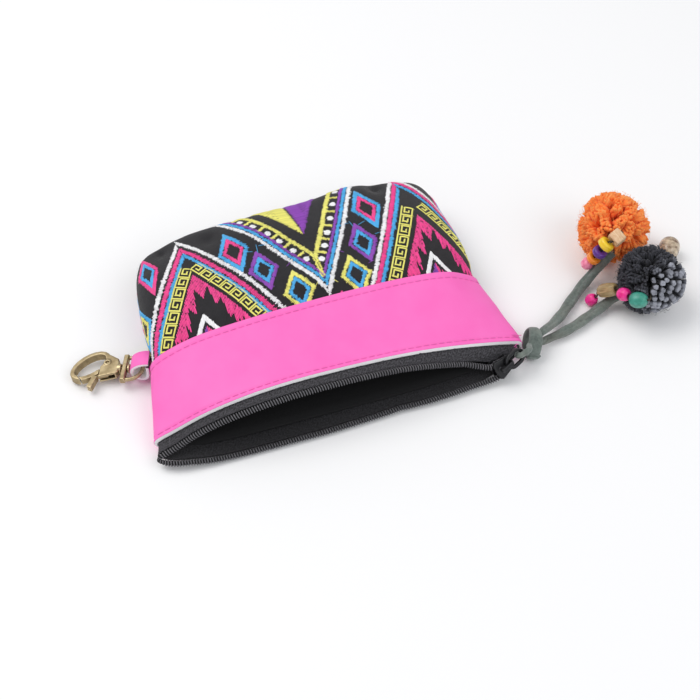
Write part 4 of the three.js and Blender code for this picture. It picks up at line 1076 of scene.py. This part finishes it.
def beadOutline(angle, sides):  # reach round the axis
    if sides == 4:  # a square with rounded corners
        power = beadSet.corner
        return (np.abs(np.cos(angle)) ** power + np.abs(np.sin(angle)) ** power) ** (-1 / power)
    if sides:
        wedge, cut = math.pi / sides, beadSet.facet
        return 1 - cut + cut * math.cos(wedge) / np.cos(np.mod(angle, 2 * wedge) - wedge)
    return np.ones_like(angle)


def makeBead(bead, place, axis):  # a turned outside, then the bore
    turn = Vector((0, 1, 0)).rotation_difference(Vector(axis))
    side, other = np.array(turn @ Vector((0, 0, 1))), np.array(turn @ Vector((1, 0, 0)))
    f = -np.cos(np.linspace(0, math.pi, beadSet.rows))
    swell = np.maximum(0, 1 - np.abs(f) ** bead.square) ** (1 / bead.square)
    outside = beadSet.bore + (bead.diameter / 2 - beadSet.bore) * swell
    radius = np.concatenate([outside, [beadSet.bore * beadSet.lip] * 2])[:, None]
    height = np.concatenate([f, [beadSet.sunk, -beadSet.sunk]])[:, None] * bead.length / 2
    angle = roundAngles(beadSet.around)
    around = np.cos(angle)[:, None] * side + np.sin(angle)[:, None] * other
    facet = beadOutline(angle, bead.sides)
    points = place + height[..., None] * axis + radius[..., None] * (facet[:, None] * around)[None]
    turned = np.stack(np.broadcast_arrays(radius * np.cos(angle), radius * np.sin(angle), height), -1)
    faces = gridFaces(len(radius), len(angle), closed=True)
    near, after, last = faces[: len(angle), 0], faces[: len(angle), 1], (len(radius) - 1) * len(angle)
    closing = np.stack([near + last, after + last, after, near], -1)
    name = bead.name
    tint = "magenta" if name.startswith("magenta") else name
    addPiece(f"{name}_bead", points, np.concatenate([faces, closing]), [f"bead_{tint}"],
             "bead_wood" if tint in woodTints else f"bead_{tint}", [f"bead_{name}"],
             extras={"turned": turned.reshape(-1, 3)})


beadPlaces = []
for key, rows in strands.items():
    beads = [Settings(zip(beadColumns, row)) for row in rows]
    places = np.array([(b.x, b.y, b.z) for b in beads])
    befores = np.vstack([strandRoots[key][0], places[:-1]])
    afters = np.vstack([places[1:], places[-1:]])
    line = list(reversed(strandRoots[key]))
    for bead, place, axis in zip(beads, places, unit(afters - befores)):
        makeBead(bead, place, axis)
        reach = axis * (bead.length / 2 + beadSet.past)
        line += [place - reach, place + reach]
        beadPlaces.append((place, max(bead.diameter, bead.length) / 2))
    thread = tubes(smoothLine(line, strandSet.steps), strandSet.radius, strandSet.sides)
    addPiece(f"{key}_strand_thread", *thread, ["beadThread"], "thread", [f"bead_thread_{key}"])
print("beads")

# Pompoms: locks of several strands standing out from a core, with loose fibres
pompomSet = {
    "orange": Settings(
        place=(122.8, -5.4, 13.95), radius=14.4, locks=200, strands=6, thick=0.82, spread=1.3, bend=0.4,
        curl=0.5, fibres=500, cut=0.0, level=0.9),
    "grey": Settings(
        place=(124.2, -33.8, 13.05), radius=13.4, locks=310, strands=5, thick=0.55, spread=1.0, bend=0.3,
        curl=0.5, fibres=500, cut=1.0, level=0.93),
}
yarnSet = Settings(
    sides=5, root=0.32, twist=2.4, most=0.985, tone=(0.7, 0.16), uneven=0.08,
    taper=(0.8, 0.85, 0.9, 0.95, 1.0, 1.0, 1.0, 0.92, 0.5), blunt=(0, 0, 0, 0, 0, 0.1, 0.2, 0.4, 0.7),
    pale=(0.45, 1), tip=(0.78, 0.92), widths=(0.85, 1.15))
hairSet = Settings(
    radius=0.055, sides=3, points=4, begin=0.86, long=0.12, stray=1.3, room=0.3, floor=0.1, tone=0.8)
cutSide, cutSpan = unit([0.4, -0.88, 0.08]), (0.36, 0.56)  # where the grey yarn's pale cut ends show
laceRoom = Settings(points=slice(-34, None, 4), radius=2.1)  # the lace's end, which the yarn leaves free


def sphereWays(count):
    z = 1 - (2 * np.arange(count) + 1) / count
    angle = np.arange(count) * math.pi * (3 - math.sqrt(5))
    level = np.sqrt(1 - z * z)
    return np.stack([level * np.cos(angle), level * np.sin(angle), z], -1)


def keepWithin(lines, most):
    return unit(lines) * np.minimum(np.linalg.norm(lines, axis=-1, keepdims=True), most)


def pressAside(lines, stops, room):  # yarn moved out of the way of beads and lace
    for centre, near in stops:
        away = lines - centre
        far = np.linalg.norm(away, axis=-1, keepdims=True)
        moved = centre + away / np.maximum(far, 1e-6) * (near + room)
        lines = np.where(far < near + room, moved, lines)
    return lines


def yarnLines(ball, ways, cut):  # every strand of every lock, from the pompom's middle
    count, size = len(ways), ball.radius
    x, y, z = ways.T
    swell = np.sin(3.1 * x + 1.3) * np.sin(2.7 * y + 0.4) + np.sin(4.3 * z + 2.2 * x)
    reach = size * np.clip(ball.level + 0.035 * swell + rng.uniform(0.0, 0.06, count), 0, 0.99)[:, None]
    one = unit(np.cross(ways, rng.standard_normal(ways.shape)))
    two = np.cross(ways, one)
    f, cut = np.linspace(0, 1, len(yarnSet.taper))[None], cut[:, None]
    lines = []
    for k in range(ball.strands):
        phase = 2 * math.pi * k / ball.strands + yarnSet.twist * f + rng.uniform(0, 1, (count, 1))
        wide = ball.spread * (1 - 0.55 * cut) * (0.4 + 0.6 * f) * rng.uniform(0.5, 1.15, (count, 1))
        curl = ball.curl * (1 - 0.9 * cut) * np.sin(5 * f + rng.uniform(0, 6, (count, 1))) * f
        lean = ball.bend * size * 0.4 * (1 - 0.8 * cut) * f**2
        short = 0.05 * rng.uniform(0, 1, (count, 1)) * (1 - cut)
        high = reach * (yarnSet.root + (1 - yarnSet.root - short) * f)
        strand = ways[:, None] * high[..., None] + one[:, None] * (wide * np.cos(phase) + lean)[..., None]
        lines.append(strand + two[:, None] * (wide * np.sin(phase) + curl)[..., None])
    return keepWithin(np.concatenate(lines), size * yarnSet.most)


def hairLines(ball):
    start = unit(rng.standard_normal((ball.fibres, 3)))
    g = np.linspace(0, 1, hairSet.points)
    hairs = start[:, None] * (ball.radius * (hairSet.begin + hairSet.long * g))[None, :, None]
    hairs = hairs + (rng.standard_normal((ball.fibres, 1, 3)) * hairSet.stray) * (g**2)[None, :, None]
    return keepWithin(hairs, ball.radius)


for key, ball in pompomSet.items():
    place, count, strandCount = np.array(ball.place), ball.locks, ball.strands
    lace, laceLine = laces[key]
    ways = unit(sphereWays(count) + 0.06 * rng.standard_normal((count, 3)))
    cut = ball.cut * ramp(ways @ cutSide, *cutSpan)
    stops = [*beadPlaces, *((p, laceRoom.radius) for p in laceLine[laceRoom.points])]
    lines = pressAside(yarnLines(ball, ways, cut) + place, stops, ball.thick)
    keepAbove(lines, ball.thick + 0.05)
    blunt = np.tile(cut, strandCount)[:, None]
    taper = np.array(yarnSet.taper) + blunt * np.array(yarnSet.blunt)
    radii = ball.thick * taper * rng.uniform(*yarnSet.widths, (len(lines), 1))
    yarn = tubes(lines, radii, yarnSet.sides)
    along = np.linspace(0, 1, lines.shape[1] + 2)
    tone = np.tile(np.clip(rng.normal(*yarnSet.tone, count), 0, 1), strandCount)
    # each lock's random tone is darkened towards the roots: painted shade deep inside the pompom
    tone = np.clip(tone + rng.normal(0, yarnSet.uneven, len(lines)), 0, 1)[:, None] * (0.1 + 0.9 * along**1.5)
    pale = blunt * np.tile(rng.uniform(*yarnSet.pale, count), strandCount)[:, None]
    pale = pale * ramp(along, *yarnSet.tip)
    hairs = pressAside(hairLines(ball) + place, beadPlaces, hairSet.room)
    keepAbove(hairs, hairSet.floor)
    hair = tubes(hairs, hairSet.radius, hairSet.sides)
    marks = {}
    for mark, values, rest in (("tone", tone, hairSet.tone), ("pale", pale, 0.0)):
        each = np.repeat(values.reshape(-1), yarnSet.sides)
        marks[mark] = np.concatenate([each, np.full(len(hair[0]), rest)])
    pompom = addPiece(f"pompom_{key}_yarn", *joinParts([yarn, hair]), [f"wool_{key}"], f"wool_{key}",
                      [f"pompom_{key}"], extras=marks)
    laceLine[0] * mm
    laceLine * mm
print("pompoms")

# Loose thread ends at the mouth's right corner
endSet = Settings(
    roots=((66.0, -39.6, 10.2), (65.4, -43.4, 7.4)), count=4, way=(0.9, -0.4, 0.3), stray=0.6, apart=0.3,
    curl=2.4, long=2.0, thick=0.15, points=12, sides=6, tone=0.4)
f = np.linspace(0, 1, endSet.points)[:, None]
lines = []
for root in np.repeat(endSet.roots, endSet.count, 0):
    way = unit(rng.standard_normal(3) * endSet.stray + endSet.way)
    curl = rng.standard_normal(3)
    start = root + rng.standard_normal(3) * endSet.apart
    lines.append(start + way * endSet.long * f + curl * np.sin(endSet.curl * f) * f)
points, faces = tubes(np.array(lines), endSet.thick, endSet.sides)
tone = np.full(len(points), endSet.tone)
addPiece("thread_ends", points, faces, ["leatherThread"], "leather", extras={"tone": tone})

# Floor and light
floorSet = Settings(size=6, height=-0.0002, colour=rgb(250, 250, 251), rough=0.7)
bpy.ops.mesh.primitive_plane_add(size=floorSet.size, location=(0, 0, floorSet.height))
floor = bpy.context.object
floor.name = "floor"
floor.data.materials.append(Shader("floor", Roughness=floorSet.rough).finish(floorSet.colour))

lampTarget = (0.02, -0.01, 0.01)  # lamps are placed in metres
lamps = [  # place, size, power, colour
    ("key", (-0.45, 0.35, 0.95), 0.8, 6.2, (1.0, 0.985, 0.96)),
    ("fill", (0.55, -0.75, 0.8), 0.9, 3.7, (0.96, 0.98, 1.0)),
]
skySet = {"Color": (0.97, 0.98, 1.0, 1.0), "Strength": 0.57}
for name, place, size, power, colour in lamps:
    lamp = bpy.data.objects.new(name, bpy.data.lights.new(name, "AREA"))
    lamp.data.size, lamp.data.energy, lamp.data.color = size, power, colour
    aim(lamp, place, lampTarget)
    scene.collection.objects.link(lamp)
world = bpy.data.worlds.new("studio")
scene.world = world
world.use_nodes = True
for key, value in skySet.items():
    world.node_tree.nodes["Background"].inputs[key].default_value = value
scene.view_settings.view_transform = "Standard"
print("light")
